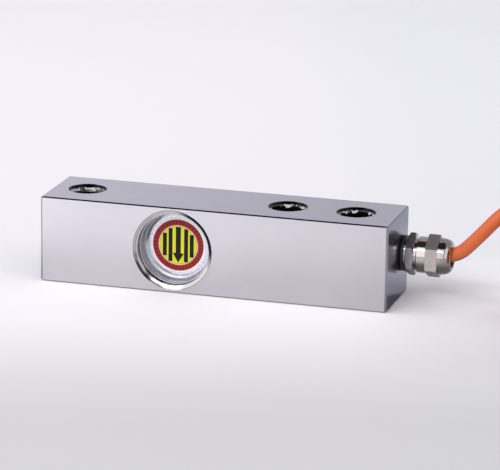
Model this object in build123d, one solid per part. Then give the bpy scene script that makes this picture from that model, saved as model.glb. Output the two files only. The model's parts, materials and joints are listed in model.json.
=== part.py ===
from build123d import *
import os
from math import cos, pi, radians, sin, tan

# Single ended shear beam load cell with its cable. All sizes are in millimetres.
# The origin is at the centre of the bar's underside, +X points to the cable end,
# -Y to the side that carries the label, and +Z up.

# Bar
bar_length = 130.0
bar_width = 31.8
bar_height = 31.8
end_edge_chamfer = 0.7
long_edge_chamfer = 0.45

# Holes down through the bar, on its middle line
load_hole_setback = 12.7
load_hole_d = 12.7
mount_hole_setback = 15.7
mount_hole_spacing = 25.4
mount_hole_d = 13.0
hole_rim_chamfer = 0.8

# Sensing section: a round pocket from each side leaves a thin upright web
load_to_web = 37.5
pocket_d = 27.0
pocket_chamfer = 1.4
pocket_root_fillet = 0.9
web_thickness = 4.8

# Drawn cups that seal the pockets, welded in at their rims
cup_rim_depth = 3.2
cup_floor_depth = 7.8
cup_wall = 0.55
cup_inner_corner = 1.7
cup_clearance = 0.05
weld_height = 0.25
label_d = 20.2
label_thickness = 0.2

# Threaded port for the cable gland, drilled beside the middle line, and the wiring ways
port_offset = 8.5
port_d = 12.0
port_depth = 8.5
channel_d = 2.6
channel_edge_margin = 0.1
channel_port_margin = 1.0
cross_hole_d = 2.6
cross_hole_drop = 8.5

# Strain gauges on the web
gauge_width = 10.0
gauge_height = 8.0
gauge_backing = 0.12
grid_foil = 0.06
grid_length = 3.2
grid_pitch = 0.5
grid_line = 0.25
grid_lines = 6
grid_spacing = 4.5
tab_size = 1.2
tab_spacing = 3.0
tab_edge = 0.2

# Terminal boards beside the gauges, with their chips
board_width = 11.0
board_height = 5.2
board_thickness = 0.8
board_gap = 1.4
pad_size = 1.0
pad_thickness = 0.05
side_pad_edge = 0.3
gauge_pad_edge = 0.2
gauge_pad_pitch = 2.1
core_pad_pitch = 1.2
jumper_pad_pitch = 1.3
chip_length = 2.0
chip_width = 1.25
chip_thickness = 0.55
chip_edge = 0.9
chip_spacing = 3.0

# Wires inside the cell
core_d = 0.9
core_bend = 1.1
core_lane = 0.53
jumper_d = 0.5
jumper_bend = 0.7
core_offset_in_port = 1.9
core_spacing_in_pocket = 0.9
core_wall_gap = 0.15
core_drop_to_board = 0.8
core_drop_pitch = 0.6
jumper_count = 3
jumper_pitch = 0.7
jumper_lane_pitch = 0.9
jumper_lane_gap = 1.4
jumper_web_gap = 0.1
wire_on_pad = 0.2
gauge_lead_d = 0.3
gauge_lead_bend = 0.3
gauge_lead_arch = 0.5

# Cable gland, measured along its axis from the bar's end face
gland_thread_length = 5.5
gland_thread_clearance = 0.05
gland_thread_chamfer = 0.5
gland_neck_relief = 1.0
gland_neck_start = -0.4
gland_bore_d = 7.6
gland_bore_step = 0.8
ring_section = 1.5
ring_squeezed = 1.3
collar_d = 13.4
collar_thickness = 0.9
hex_across_flats = 13.8
body_hex_length = 2.9
body_hex_chamfer = 0.6
hex_chamfer_angle = 30.0
hex_root = 0.2
spigot_d = 11.2
spigot_bore_d = 9.4
spigot_end = 12.0
nut_start = 5.9
nut_skirt_d = 13.2
nut_skirt_chamfer = 0.3
nut_neck_length = 0.7
nut_hex_start = 9.45
nut_hex_length = 4.45
nut_hex_chamfer = 0.25
nut_end = 18.3
nut_dome_round = 3.6
mouth_d = 7.0
mouth_flare = 0.7
insert_ring_start = 7.4
insert_ring_bore_d = 7.8
insert_bore_taper = 0.4
insert_flange_d = 10.6
insert_flange_thickness = 0.6
finger_end = 16.6
finger_root_d = 9.2
finger_tip_d = 8.0
finger_bore_d = 6.8
finger_count = 8
finger_slit = 0.6
seal_start = 8.2
seal_step = 0.4
seal_step_lead = 0.3
seal_end = 17.3
seal_end_chamfer = 0.3
seal_lip_start = 16.0
seal_lip_flare = 0.35
fit_gap = 0.05

# Cable, and how much of it stands free before it is wound up
cable_d = 5.1
cable_length = 3000.0
cable_start = 12.0
landing_slope = 22.0
landing_run = 20.0
landing_to_hank = 21.5

# Hank of the put-away cable: two turns side by side, in layers
hank_from_bar = 118.0
hank_straight = 96.0
hank_inner_radius = 15.5
hank_layers = 5
hank_edge_round = 2.0
hank_lead_out = 16.0
hank_lead_overlap = 5.0
tie_width = 5.0
tie_thickness = 0.8
tie_offset = 24.0
tie_head_height = 3.6
tie_head_length = 5.6

# Far end of the cable
sleeve_d = 5.7
sleeve_length = 14.0
sleeve_chamfer = 0.4
lead_bend = 8.0
lead_floor_gap = 0.02
tip_d = 0.62
tip_length = 7.0
drain_d = 0.7

# Places worked out from the sizes above
bar_end = bar_length / 2
hank_x = bar_end + hank_from_bar
side_face = bar_width / 2
mid_z = bar_height / 2
load_x = -bar_end + load_hole_setback
far_mount_x = bar_end - mount_hole_setback
near_mount_x = far_mount_x - mount_hole_spacing
web_x = load_x + load_to_web
web_face = web_thickness / 2
pocket_depth = side_face - web_face
cup_outer_r = pocket_d / 2 - cup_clearance
cup_inner_r = cup_outer_r - cup_wall
cup_back = cup_floor_depth + cup_wall
port_bottom = bar_end - port_depth
board_middle = gauge_height / 2 + board_gap + board_height / 2
board_top = web_face + board_thickness
pad_top = board_top + pad_thickness
collar_end = ring_squeezed + collar_thickness
body_hex_end = collar_end + body_hex_length
nut_hex_end = nut_hex_start + nut_hex_length
insert_flange_end = spigot_end + insert_flange_thickness
track_outer_radius = hank_inner_radius + cable_d
hank_outer_radius = track_outer_radius + cable_d / 2
hank_hole_radius = hank_inner_radius - cable_d / 2
hank_bottom = tie_thickness
hank_top = hank_bottom + hank_layers * cable_d
top_layer_z = hank_top - cable_d / 2
bottom_layer_z = hank_bottom + cable_d / 2
hank_right = hank_x + hank_straight / 2

# The wiring channel starts at the port's bottom and ends between the rear cup and the web
channel_pocket_x = web_x + pocket_d / 2
channel_pocket_y = side_face - cup_back - channel_edge_margin - channel_d / 2
channel_port_y = port_offset + port_d / 2 - channel_port_margin - channel_d / 2
channel_slope = (channel_port_y - channel_pocket_y) / (port_bottom - channel_pocket_x)


def channel_y(x):
    return channel_pocket_y + channel_slope * (x - channel_pocket_x)


# Free cable: straight out of the gland, up over a hump beyond the bar and down to the hank,
# where it settles into the inner track of the top layer
slope_cos = cos(radians(landing_slope))
slope_sin = sin(radians(landing_slope))
landing_rise = landing_run * slope_sin
landing = (
    hank_x - landing_to_hank,
    hank_inner_radius,
    top_layer_z + landing_rise,
)
cable_route = [
    (bar_end + cable_start, port_offset, mid_z),
    (bar_end + 19.2, port_offset, mid_z),
    (bar_end + 26.0, port_offset, 22.3),
    (bar_end + 38.2, 9.0, 36.4),
    (bar_end + 56.5, 12.5, 43.0),
    (landing[0] - landing_run * slope_cos, landing[1], landing[2] + landing_rise),
    landing,
]


# Helpers


def turned(points):
    """A solid turned about the X axis from (distance along it, radius) points."""
    return revolve(make_face(Polyline(*points, close=True)), Axis.X)


def corner_radii(points):
    """The largest smooth arc at each corner of a route, and the turn there in degrees."""
    spots = [Vector(*p) for p in points]
    found = []
    for before, here, after in zip(spots, spots[1:], spots[2:]):
        turn = (here - before).get_angle(after - here)
        shorter = min((here - before).length, (after - here).length)
        found.append((0.45 * shorter / tan(radians(turn) / 2), turn))
    return found


def tube(points, diameter, radii):
    """A round tube along straight runs, each bend with its own radius."""
    path = FilletPolyline(*points, radius=radii)
    start = Plane(origin=path @ 0, z_dir=path % 0)
    return sweep(start * Circle(diameter / 2), path=path), path.length


def at_pocket(side):
    """The place of a pocket's mouth, its local X pointing into the bar."""
    return Pos(web_x, side * side_face, mid_z) * Rot(0, 0, -90 * side)


def at_gland():
    return Pos(bar_end, port_offset, mid_z)


def on_side(shape, side):
    """A rear piece as it is, or its mirror image for the front."""
    return shape if side > 0 else mirror(shape, about=Plane.XZ)


def web_block(u, w, width, height, low, thick):
    """A block on the rear of the web, its back at distance low from the middle plane."""
    return Pos(web_x + u, low + thick / 2, mid_z + w) * Box(width, thick, height)


# Bar


def through_hole(x, diameter):
    """A drilled hole with a chamfered rim at both ends."""
    r = diameter / 2
    rim = r + hole_rim_chamfer
    cut = Pos(x, 0, mid_z) * Cylinder(r, bar_height + 2)
    top = Pos(x, 0, bar_height - hole_rim_chamfer / 2) * Cone(r, rim, hole_rim_chamfer)
    bottom = Pos(x, 0, hole_rim_chamfer / 2) * Cone(rim, r, hole_rim_chamfer)
    return cut + top + bottom


def pocket(side):
    r = pocket_d / 2
    root = pocket_root_fillet
    arc = [
        (pocket_depth - root + root * sin(radians(a)), r - root + root * cos(radians(a)))
        for a in range(0, 91, 15)
    ]
    profile = [(-1, 0), (-1, r + pocket_chamfer + 1), (pocket_chamfer, r), *arc, (pocket_depth, 0)]
    return at_pocket(side) * turned(profile)


def wiring_channel():
    start = Vector(port_bottom + 1, channel_y(port_bottom + 1), mid_z)
    end = Vector(channel_pocket_x - 2, channel_y(channel_pocket_x - 2), mid_z)
    return Plane(origin=start, z_dir=end - start) * extrude(Circle(channel_d / 2), (end - start).length)


def beam_body():
    bar = Pos(0, 0, mid_z) * Box(bar_length, bar_width, bar_height)
    bar = chamfer(bar.edges().filter_by(Axis.Z), end_edge_chamfer)
    rims = bar.edges().group_by(Axis.Z)
    bar = chamfer(rims[0] + rims[-1], long_edge_chamfer)
    bar -= through_hole(load_x, load_hole_d)
    bar -= through_hole(near_mount_x, mount_hole_d)
    bar -= through_hole(far_mount_x, mount_hole_d)
    bar -= pocket(-1)
    bar -= pocket(1)
    bar -= Pos(port_bottom + port_depth / 2 + 1, port_offset, mid_z) * Rot(0, 90, 0) * Cylinder(
        port_d / 2, port_depth + 2
    )
    bar -= wiring_channel()
    bar -= Pos(web_x, 0, mid_z - cross_hole_drop) * Rot(90, 0, 0) * Cylinder(
        cross_hole_d / 2, web_thickness + 1
    )
    return bar


# Seals of the pockets


def sealing_cup(side):
    """A drawn cup with its weld bead, open outwards."""
    outer_corner = cup_inner_corner + cup_wall
    quarter = range(0, 91, 15)
    outside = [
        (
            cup_back - outer_corner + outer_corner * sin(radians(a)),
            cup_outer_r - outer_corner + outer_corner * cos(radians(a)),
        )
        for a in quarter
    ]
    inside = [
        (
            cup_floor_depth - cup_inner_corner + cup_inner_corner * sin(radians(a)),
            cup_inner_r - cup_inner_corner + cup_inner_corner * cos(radians(a)),
        )
        for a in reversed(quarter)
    ]
    bead_outer = pocket_d / 2
    bead = [
        (cup_rim_depth, cup_inner_r),
        (cup_rim_depth - weld_height, cup_inner_r + cup_wall / 3),
        (cup_rim_depth - weld_height, bead_outer - cup_wall / 3),
        (cup_rim_depth, bead_outer),
        (cup_rim_depth + weld_height, bead_outer),
        (cup_rim_depth + weld_height, cup_outer_r),
    ]
    profile = [*bead, *outside, (cup_back, 0), (cup_floor_depth, 0), *inside]
    return at_pocket(side) * turned(profile)


def label_disc():
    r = label_d / 2
    low = cup_floor_depth - label_thickness
    return at_pocket(-1) * turned([(low, 0), (low, r), (cup_floor_depth, r), (cup_floor_depth, 0)])


# Strain gauges, boards and chips on the web


def shear_grid(u, lean):
    """A folded foil grid at a slant, its lines joined end to end."""
    half = (grid_lines - 1) / 2
    lines = Pos(0, 0, -half * grid_pitch) * Box(grid_length, grid_foil, grid_line)
    for i in range(1, grid_lines):
        across = (i - half) * grid_pitch
        lines += Pos(0, 0, across) * Box(grid_length, grid_foil, grid_line)
    for i in range(grid_lines - 1):
        end = grid_length / 2 * (1 if i % 2 else -1)
        middle = (i + 0.5 - half) * grid_pitch
        lines += Pos(end, 0, middle) * Box(grid_line, grid_foil, grid_pitch + grid_line)
    low = web_face + gauge_backing
    return Pos(web_x + u, low + grid_foil / 2, mid_z - tab_size / 2) * Rot(0, lean, 0) * lines


def strain_gauge(side):
    """One gauge: backing film, two grids at right angles and three solder tabs."""
    gauge = web_block(0, 0, gauge_width, gauge_height, web_face, gauge_backing)
    gauge += shear_grid(-grid_spacing / 2, 45)
    gauge += shear_grid(grid_spacing / 2, -45)
    for u in (-tab_spacing, 0, tab_spacing):
        w = (gauge_height - tab_size) / 2 - tab_edge
        gauge += web_block(u, w, tab_size, tab_size, web_face + gauge_backing, grid_foil)
    return on_side(gauge, side)


def core_pad_w(i):
    return board_middle + (i - 1.5) * core_pad_pitch


def jumper_pad_w(i):
    return board_middle + (i - (jumper_count - 1) / 2) * jumper_pad_pitch


def side_pad_u():
    return (board_width - pad_size) / 2 - side_pad_edge


def gauge_pad_w():
    return board_middle - (board_height - pad_size) / 2 + gauge_pad_edge


def terminal_board(side):
    board = web_block(0, board_middle, board_width, board_height, web_face, board_thickness)
    for i in range(jumper_count):
        board += web_block(-side_pad_u(), jumper_pad_w(i), pad_size, pad_size, board_top, pad_thickness)
    if side > 0:
        for i in range(4):
            board += web_block(side_pad_u(), core_pad_w(i), pad_size, pad_size, board_top, pad_thickness)
    for u in (-gauge_pad_pitch, 0, gauge_pad_pitch):
        board += web_block(u, gauge_pad_w(), pad_size, pad_size, board_top, pad_thickness)
    return on_side(board, side)


def chip_resistor(u):
    """A chip resistor on the rear board."""
    w = board_middle + (board_height - chip_width) / 2 - chip_edge
    return web_block(u, w, chip_length, chip_width, board_top, chip_thickness)


def gauge_lead(i, side):
    """A fine lead from a gauge's tab up to the board."""
    low = web_face + gauge_backing + grid_foil + gauge_lead_d / 2
    high = pad_top + gauge_lead_d / 2
    arch = high + gauge_lead_arch
    tab = i * tab_spacing
    pad = i * gauge_pad_pitch
    edge = gauge_height / 2
    board_edge = board_middle - board_height / 2
    spots = [
        (tab, low, edge - tab_size / 2 - tab_edge),
        (tab, low, edge - tab_edge),
        (tab, arch, edge + board_gap * 0.35),
        (pad, arch, edge + board_gap * 0.8),
        (pad, high, board_edge + board_gap * 0.25),
        (pad, high, gauge_pad_w() + wire_on_pad),
    ]
    points = [(web_x + u, y, mid_z + w) for u, y, w in spots]
    lead, _ = tube(points, gauge_lead_d, [gauge_lead_bend] * (len(points) - 2))
    return on_side(lead, side)


def gauge_leads(side):
    return Compound([gauge_lead(i, side) for i in (-1, 0, 1)])


def jumper_wire(i):
    """A wire from the rear board down round the gauge, through the web and up to the front."""
    lane = -(gauge_width / 2 + jumper_lane_gap + i * jumper_lane_pitch)
    low_w = -cross_hole_drop + (1 - i) * jumper_pitch
    high = pad_top + jumper_d / 2
    low = web_face + jumper_d / 2 + jumper_web_gap
    start = -side_pad_u() + pad_size / 2 - wire_on_pad
    pad_w = jumper_pad_w(i)
    half = [(start, high, pad_w), (lane, high, pad_w), (lane, low, low_w), (0, low, low_w)]
    other = [(u, -y, w) for u, y, w in reversed(half)]
    points = [(web_x + u, y, mid_z + w) for u, y, w in half + other]
    return tube(points, jumper_d, [jumper_bend] * (len(points) - 2))[0]


def core_wire(i):
    """One of the cable's cores, from the jacket's end through the channel to the rear board."""
    y_lane = core_lane * (-1 if i % 2 == 0 else 1)
    z_lane = core_lane * (-1 if i < 2 else 1)
    jacket = bar_end + cable_start
    bent_y = port_offset + core_offset_in_port
    turn_u = (pocket_d - core_d) / 2 - core_wall_gap - (3 - i) * core_spacing_in_pocket
    rise_u = board_width / 2 + core_drop_to_board + i * core_drop_pitch
    pad_y = pad_top + core_d / 2
    pocket_x = web_x + turn_u
    entry_x = port_bottom + core_d
    points = [
        (jacket, port_offset + y_lane, mid_z + z_lane),
        (bar_end + collar_end, port_offset + y_lane, mid_z + z_lane),
        ((bar_end + port_bottom) / 2, bent_y + y_lane, mid_z + z_lane),
        (entry_x, channel_y(entry_x) + y_lane, mid_z + z_lane),
        (pocket_x, channel_y(pocket_x) + y_lane, mid_z + z_lane),
        (web_x + rise_u, pad_y, mid_z + core_pad_w(i)),
        (web_x + side_pad_u() - pad_size / 2, pad_y, mid_z + core_pad_w(i)),
    ]
    return tube(points, core_d, [core_bend] * (len(points) - 2))[0]


# Cable gland


def hex_prism(start, length, rise):
    """A hexagon along X with two corners up and down, its corners turned off at both ends."""
    across_corners = hex_across_flats / cos(radians(30))
    side = RegularPolygon(across_corners / 2, 6, rotation=0)
    prism = Pos(start, 0, 0) * extrude(Plane.YZ * Rot(0, 0, 90) * side, length)
    r = across_corners / 2
    end_r = r - rise / tan(radians(hex_chamfer_angle))
    blank = turned(
        [
            (start, 0),
            (start, end_r),
            (start + rise, r),
            (start + length - rise, r),
            (start + length, end_r),
            (start + length, 0),
        ]
    )
    return prism & blank


def gland_body():
    """Thread, sealing collar, hexagon and the spigot that the dome nut screws onto."""
    thread_r = port_d / 2 - gland_thread_clearance
    neck_r = port_d / 2 - gland_neck_relief
    bore_r = gland_bore_d / 2
    seat_x = insert_ring_start - fit_gap
    body = turned(
        [
            (-gland_thread_length, bore_r),
            (-gland_thread_length, thread_r - gland_thread_chamfer),
            (-gland_thread_length + gland_thread_chamfer, thread_r),
            (gland_neck_start, thread_r),
            (gland_neck_start, neck_r),
            (ring_squeezed, neck_r),
            (ring_squeezed, collar_d / 2),
            (collar_end, collar_d / 2),
            (collar_end, spigot_d / 2),
            (spigot_end, spigot_d / 2),
            (spigot_end, spigot_bore_d / 2),
            (seat_x, spigot_bore_d / 2),
            (seat_x - gland_bore_step, bore_r),
        ]
    )
    hexagon = hex_prism(collar_end, body_hex_length, body_hex_chamfer)
    hexagon -= Rot(0, 90, 0) * Cylinder(spigot_d / 2 - hex_root, 4 * body_hex_end)
    return at_gland() * (body + hexagon)


def gland_o_ring():
    """The sealing ring, squeezed between the bar's end face and the collar."""
    r = port_d / 2 - gland_neck_relief + fit_gap
    section = Pos(ring_squeezed / 2, r + ring_section / 2) * RectangleRounded(
        ring_squeezed, ring_section, ring_squeezed * 0.42
    )
    return at_gland() * revolve(section, Axis.X)


def clamp_insert():
    """The slit plastic insert: a ring in the spigot, a flange on its end, and fingers."""
    ring_r = spigot_bore_d / 2 - fit_gap
    insert = turned(
        [
            (insert_ring_start, insert_ring_bore_d / 2),
            (insert_ring_start, ring_r),
            (spigot_end, ring_r),
            (spigot_end, insert_flange_d / 2),
            (insert_flange_end, insert_flange_d / 2),
            (insert_flange_end, finger_root_d / 2),
            (finger_end, finger_tip_d / 2),
            (finger_end, finger_bore_d / 2),
            (spigot_end + insert_bore_taper, finger_bore_d / 2),
            (spigot_end, insert_ring_bore_d / 2),
        ]
    )
    slit_length = finger_end - insert_flange_end + 1
    slit = Pos(insert_flange_end + slit_length / 2, 0, finger_root_d / 2) * Box(
        slit_length, finger_slit, finger_root_d
    )
    for i in range(finger_count):
        insert -= Rot(360 / finger_count * i, 0, 0) * slit
    return at_gland() * insert


def seal_grommet():
    """The rubber sleeve that the fingers press onto the cable."""
    r = cable_d / 2 + fit_gap
    ring_r = insert_ring_bore_d / 2 - fit_gap
    nose_r = finger_bore_d / 2 - fit_gap
    return at_gland() * turned(
        [
            (seal_start, r),
            (seal_start, ring_r),
            (spigot_end - seal_step_lead, ring_r),
            (spigot_end - seal_step_lead + seal_step, nose_r),
            (seal_end - seal_end_chamfer, nose_r),
            (seal_end, nose_r - seal_end_chamfer),
            (seal_end, r + seal_lip_flare),
            (seal_lip_start, r),
        ]
    )


def dome_nut():
    """The domed nut: skirt, hexagon and dome, hollow for the insert."""
    skirt_r = nut_skirt_d / 2
    mouth_r = mouth_d / 2
    lip_r = mouth_r + mouth_flare
    dome = [
        (
            nut_end - nut_dome_round + nut_dome_round * sin(radians(a)),
            skirt_r - (skirt_r - lip_r) * (1 - cos(radians(a))),
        )
        for a in range(0, 91, 10)
    ]
    flange_room = insert_flange_end + fit_gap
    shell = turned(
        [
            (nut_start, spigot_d / 2 + fit_gap),
            (nut_start, skirt_r - nut_skirt_chamfer),
            (nut_start + nut_skirt_chamfer, skirt_r),
            *dome,
            (nut_end - mouth_flare, mouth_r),
            (finger_end + nut_neck_length, mouth_r),
            (finger_end + fit_gap, finger_tip_d / 2 + fit_gap),
            (flange_room, finger_root_d / 2 + fit_gap),
            (flange_room, spigot_d / 2 + fit_gap),
        ]
    )
    hexagon = hex_prism(nut_hex_start, nut_hex_length, nut_hex_chamfer)
    hexagon -= Rot(0, 90, 0) * Cylinder(skirt_r - hex_root, 4 * nut_hex_end)
    return at_gland() * (shell + hexagon)


# Cable


def cable_run():
    radii = [radius for radius, _ in corner_radii(cable_route)]
    return tube(cable_route, cable_d, radii)


def hank_outline(radius):
    """A face with straight sides and round ends."""
    return Pos(hank_x, 0) * SlotCenterToCenter(hank_straight, 2 * radius)


def cable_hank():
    """The outer shape of the wound cable, with its lead in from the hump and its lead out."""
    height = hank_top - hank_bottom
    ring = extrude(hank_outline(hank_outer_radius) - hank_outline(hank_hole_radius), height)
    ring = fillet(ring.edges(), hank_edge_round)
    ring = Pos(0, 0, hank_bottom) * ring
    down = (slope_cos, 0, -slope_sin)
    lead_in = Plane(origin=landing, z_dir=down) * extrude(Circle(cable_d / 2), landing_run)
    out = Vector(hank_right - hank_lead_overlap, track_outer_radius, bottom_layer_z)
    reach = hank_lead_out + hank_lead_overlap
    lead_out = Plane(origin=out, z_dir=(1, 0, 0)) * extrude(Circle(cable_d / 2), reach)
    return ring + lead_in + lead_out


def hank_tie(side):
    """A strap round one side of the hank, with its head on top."""
    middle = side * (hank_outer_radius + hank_hole_radius) / 2
    wide = hank_outer_radius - hank_hole_radius
    tall = hank_top - hank_bottom
    outer_round = hank_edge_round + tie_thickness
    outer = RectangleRounded(wide + 2 * tie_thickness, tall + 2 * tie_thickness, outer_round)
    strap = Plane.YZ * (outer - RectangleRounded(wide, tall, hank_edge_round))
    band = extrude(strap, tie_width / 2, both=True)
    head = Pos(0, 0, tall / 2 + tie_head_height / 2) * Box(tie_width, tie_head_length, tie_head_height)
    place = Pos(hank_x + tie_offset, middle, hank_bottom + tall / 2)
    return place * (band + head)


def end_sleeve():
    """The shrunk sleeve over the end of the jacket."""
    start = hank_right + hank_lead_out
    tube_part = Pos(start, track_outer_radius, bottom_layer_z) * Rot(0, 90, 0) * Cylinder(
        sleeve_d / 2, sleeve_length, align=(Align.CENTER, Align.CENTER, Align.MIN)
    )
    return chamfer(tube_part.edges(), sleeve_chamfer)


# Bare leads: name, offset in the sleeve (y, z), diameter, and where the lead ends (x, y)
sleeve_end = hank_right + hank_lead_out + sleeve_length
leads = {
    "red": ((1.0, 0.9), core_d, (44.0, 2.2)),
    "white": ((1.0, -0.9), core_d, (47.0, -2.0)),
    "shield": ((0.0, 0.0), drain_d, (42.0, -5.6)),
    "green": ((-1.0, -0.9), core_d, (46.0, -8.8)),
    "black": ((-1.0, 0.9), core_d, (41.0, -14.0)),
}


def lead_points(name):
    (dy, dz), diameter, (reach, spread) = leads[name]
    y = track_outer_radius
    floor = core_d / 2 + lead_floor_gap
    return [
        (sleeve_end, y + dy, bottom_layer_z + dz),
        (sleeve_end + 5, y + dy * 1.1, bottom_layer_z + dz * 0.8),
        (sleeve_end + 15, y + dy + spread * 0.3, floor + 0.25),
        (sleeve_end + 29, y + dy + spread * 0.75, floor),
        (sleeve_end + reach - tip_length, y + dy + spread, floor),
    ]


def lead_wire(name):
    return tube(lead_points(name), leads[name][1], [lead_bend] * 3)[0]


def lead_tip(name):
    """The tinned end of a lead, in line with its last run."""
    before, last = [Vector(*p) for p in lead_points(name)[-2:]]
    return Plane(origin=last, z_dir=last - before) * extrude(Circle(tip_d / 2), tip_length)


pieces = {
    "beam_body": beam_body(),
    "front_sealing_cup": sealing_cup(-1),
    "rear_sealing_cup": sealing_cup(1),
    "label_disc": label_disc(),
    "front_strain_gauge": strain_gauge(-1),
    "rear_strain_gauge": strain_gauge(1),
    "front_terminal_board": terminal_board(-1),
    "rear_terminal_board": terminal_board(1),
    "zero_resistor": chip_resistor(-chip_spacing / 2),
    "span_resistor": chip_resistor(chip_spacing / 2),
    "front_gauge_leads": gauge_leads(-1),
    "rear_gauge_leads": gauge_leads(1),
    "gland_body": gland_body(),
    "gland_o_ring": gland_o_ring(),
    "clamp_insert": clamp_insert(),
    "seal_grommet": seal_grommet(),
    "dome_nut": dome_nut(),
    "cable_hank": cable_hank(),
    "front_hank_tie": hank_tie(-1),
    "rear_hank_tie": hank_tie(1),
    "end_sleeve": end_sleeve(),
}
for i in range(jumper_count):
    pieces[f"jumper_wire_{i + 1}"] = jumper_wire(i)
for i, colour in enumerate(("green", "white", "black", "red")):
    pieces[f"core_{colour}"] = core_wire(i)
for name in leads:
    pieces[f"lead_{name}"] = lead_wire(name)
    pieces[f"tip_{name}"] = lead_tip(name)
pieces["cable_run"], run_length = cable_run()

for radius, turn in corner_radii(cable_route):
    print(f"cable bend radius {radius:.1f} mm for a turn of {turn:.1f} degrees")
run_volume = pieces["cable_run"].volume
section = pi * cable_d**2 / 4
print(f"cable run {run_length:.1f} mm")
print(f"volume {run_volume:.1f}, section times length {section * run_length:.1f} cubic mm")
turn_length = 2 * hank_straight + pi * (hank_inner_radius + track_outer_radius)
print(f"hank turn {turn_length:.1f} mm, turns {(cable_length - run_length) / turn_length:.2f}")

os.makedirs("parts", exist_ok=True)
for name, shape in pieces.items():
    export_step(shape, f"parts/{name}.step")
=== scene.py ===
"""Looks of a single ended shear beam load cell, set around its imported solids."""

import json
from collections import namedtuple
from functools import wraps
from math import atan2, cos, pi, radians, sin, tan

import bpy
from bpy.props import FloatProperty, FloatVectorProperty, IntProperty, PointerProperty
from bpy.types import Operator, Panel, PropertyGroup
from mathutils import Matrix, Vector


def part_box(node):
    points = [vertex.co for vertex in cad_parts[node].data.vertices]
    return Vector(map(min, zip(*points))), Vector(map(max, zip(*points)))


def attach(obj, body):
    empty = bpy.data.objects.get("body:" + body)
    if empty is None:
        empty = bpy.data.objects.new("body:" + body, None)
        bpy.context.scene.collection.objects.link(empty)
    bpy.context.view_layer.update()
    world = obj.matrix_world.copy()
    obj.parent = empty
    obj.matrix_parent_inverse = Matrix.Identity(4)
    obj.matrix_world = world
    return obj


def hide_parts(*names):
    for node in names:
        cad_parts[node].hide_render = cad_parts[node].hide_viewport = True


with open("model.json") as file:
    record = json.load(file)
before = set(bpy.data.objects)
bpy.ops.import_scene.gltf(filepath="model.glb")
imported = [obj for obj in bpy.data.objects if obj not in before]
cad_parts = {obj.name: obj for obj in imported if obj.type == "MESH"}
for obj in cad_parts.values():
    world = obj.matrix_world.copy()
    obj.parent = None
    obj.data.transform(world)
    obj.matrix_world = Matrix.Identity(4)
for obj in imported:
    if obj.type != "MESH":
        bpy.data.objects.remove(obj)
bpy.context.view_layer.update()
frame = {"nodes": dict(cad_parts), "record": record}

bl_info = {
    "name": "Shear beam load cell",
    "version": (1, 0, 0),
    "blender": (4, 5, 0),
    "location": "View3D > Sidebar > Load Cell",
    "description": "Builds the bar, seals, gland, cable and studio of a shear beam load cell",
    "category": "Object",
}

# Sizes are in metres. MM turns a size in millimetres into metres.
MM = 0.001
MERGE = 0.002 * MM

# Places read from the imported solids
BAR_LOW, BAR_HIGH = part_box("beam_body")
LABEL_LOW, LABEL_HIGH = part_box("label_disc")
CUP_LOW, CUP_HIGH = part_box("front_sealing_cup")
RING_LOW, RING_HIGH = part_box("gland_o_ring")
_, NUT_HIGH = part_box("dome_nut")
_, SEAL_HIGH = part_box("seal_grommet")
HANK_LOW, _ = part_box("cable_hank")
SLEEVE_LOW, SLEEVE_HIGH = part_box("end_sleeve")
MOUNTS = {mount["name"]: mount for mount in frame["record"]["mounts"]}

BAR_CENTRE = (BAR_LOW + BAR_HIGH) / 2
BAR_SIZE = BAR_HIGH - BAR_LOW
BAR_END = BAR_HIGH.x
SIDE_FACE = BAR_HIGH.y
WEB_X = (LABEL_LOW.x + LABEL_HIGH.x) / 2
MID_Z = (LABEL_LOW.z + LABEL_HIGH.z) / 2
GLAND_Y = (RING_LOW.y + RING_HIGH.y) / 2
GLAND_PLACE = Vector((BAR_END, GLAND_Y, MID_Z))
LABEL_RADIUS = (LABEL_HIGH.x - LABEL_LOW.x) / 2
LABEL_FACE = SIDE_FACE + LABEL_LOW.y
LABEL_BACK = SIDE_FACE + LABEL_HIGH.y
CUP_RADIUS = (CUP_HIGH.x - CUP_LOW.x) / 2
CUP_BACK = SIDE_FACE + CUP_HIGH.y
LOAD_X = MOUNTS["load_hole"]["pos_m"][0]
LOAD_RADIUS = MOUNTS["load_hole"]["dims"]["r_mm"] * MM
MOUNT_RADIUS = MOUNTS["mounting_holes"]["dims"]["hole_r_mm"] * MM
MOUNT_MIDDLE = MOUNTS["mounting_holes"]["pos_m"][0]
MOUNT_SPACING = MOUNTS["mounting_holes"]["dims"]["spacing_x_mm"] * MM
MOUNT_XS = (MOUNT_MIDDLE - MOUNT_SPACING / 2, MOUNT_MIDDLE + MOUNT_SPACING / 2)

# The cable's free stretch, from inside the gland to the hank
CABLE_ROUTE = [
    (0.077, 0.0085, 0.0159),
    (0.0842, 0.0085, 0.0159),
    (0.091, 0.0085, 0.0223),
    (0.1032, 0.009, 0.0364),
    (0.1215, 0.0125, 0.043),
    (0.14296, 0.0155, 0.03873),
    (0.1615, 0.0155, 0.03124),
    (0.18004, 0.0155, 0.02375),
]


def length(label, millimetres, words):
    return FloatProperty(
        name=label, default=millimetres * MM, precision=5, unit="LENGTH", description=words
    )


def colour(label, value, words):
    return FloatVectorProperty(
        name=label, subtype="COLOR", default=value, min=0, max=1, description=words
    )


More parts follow.
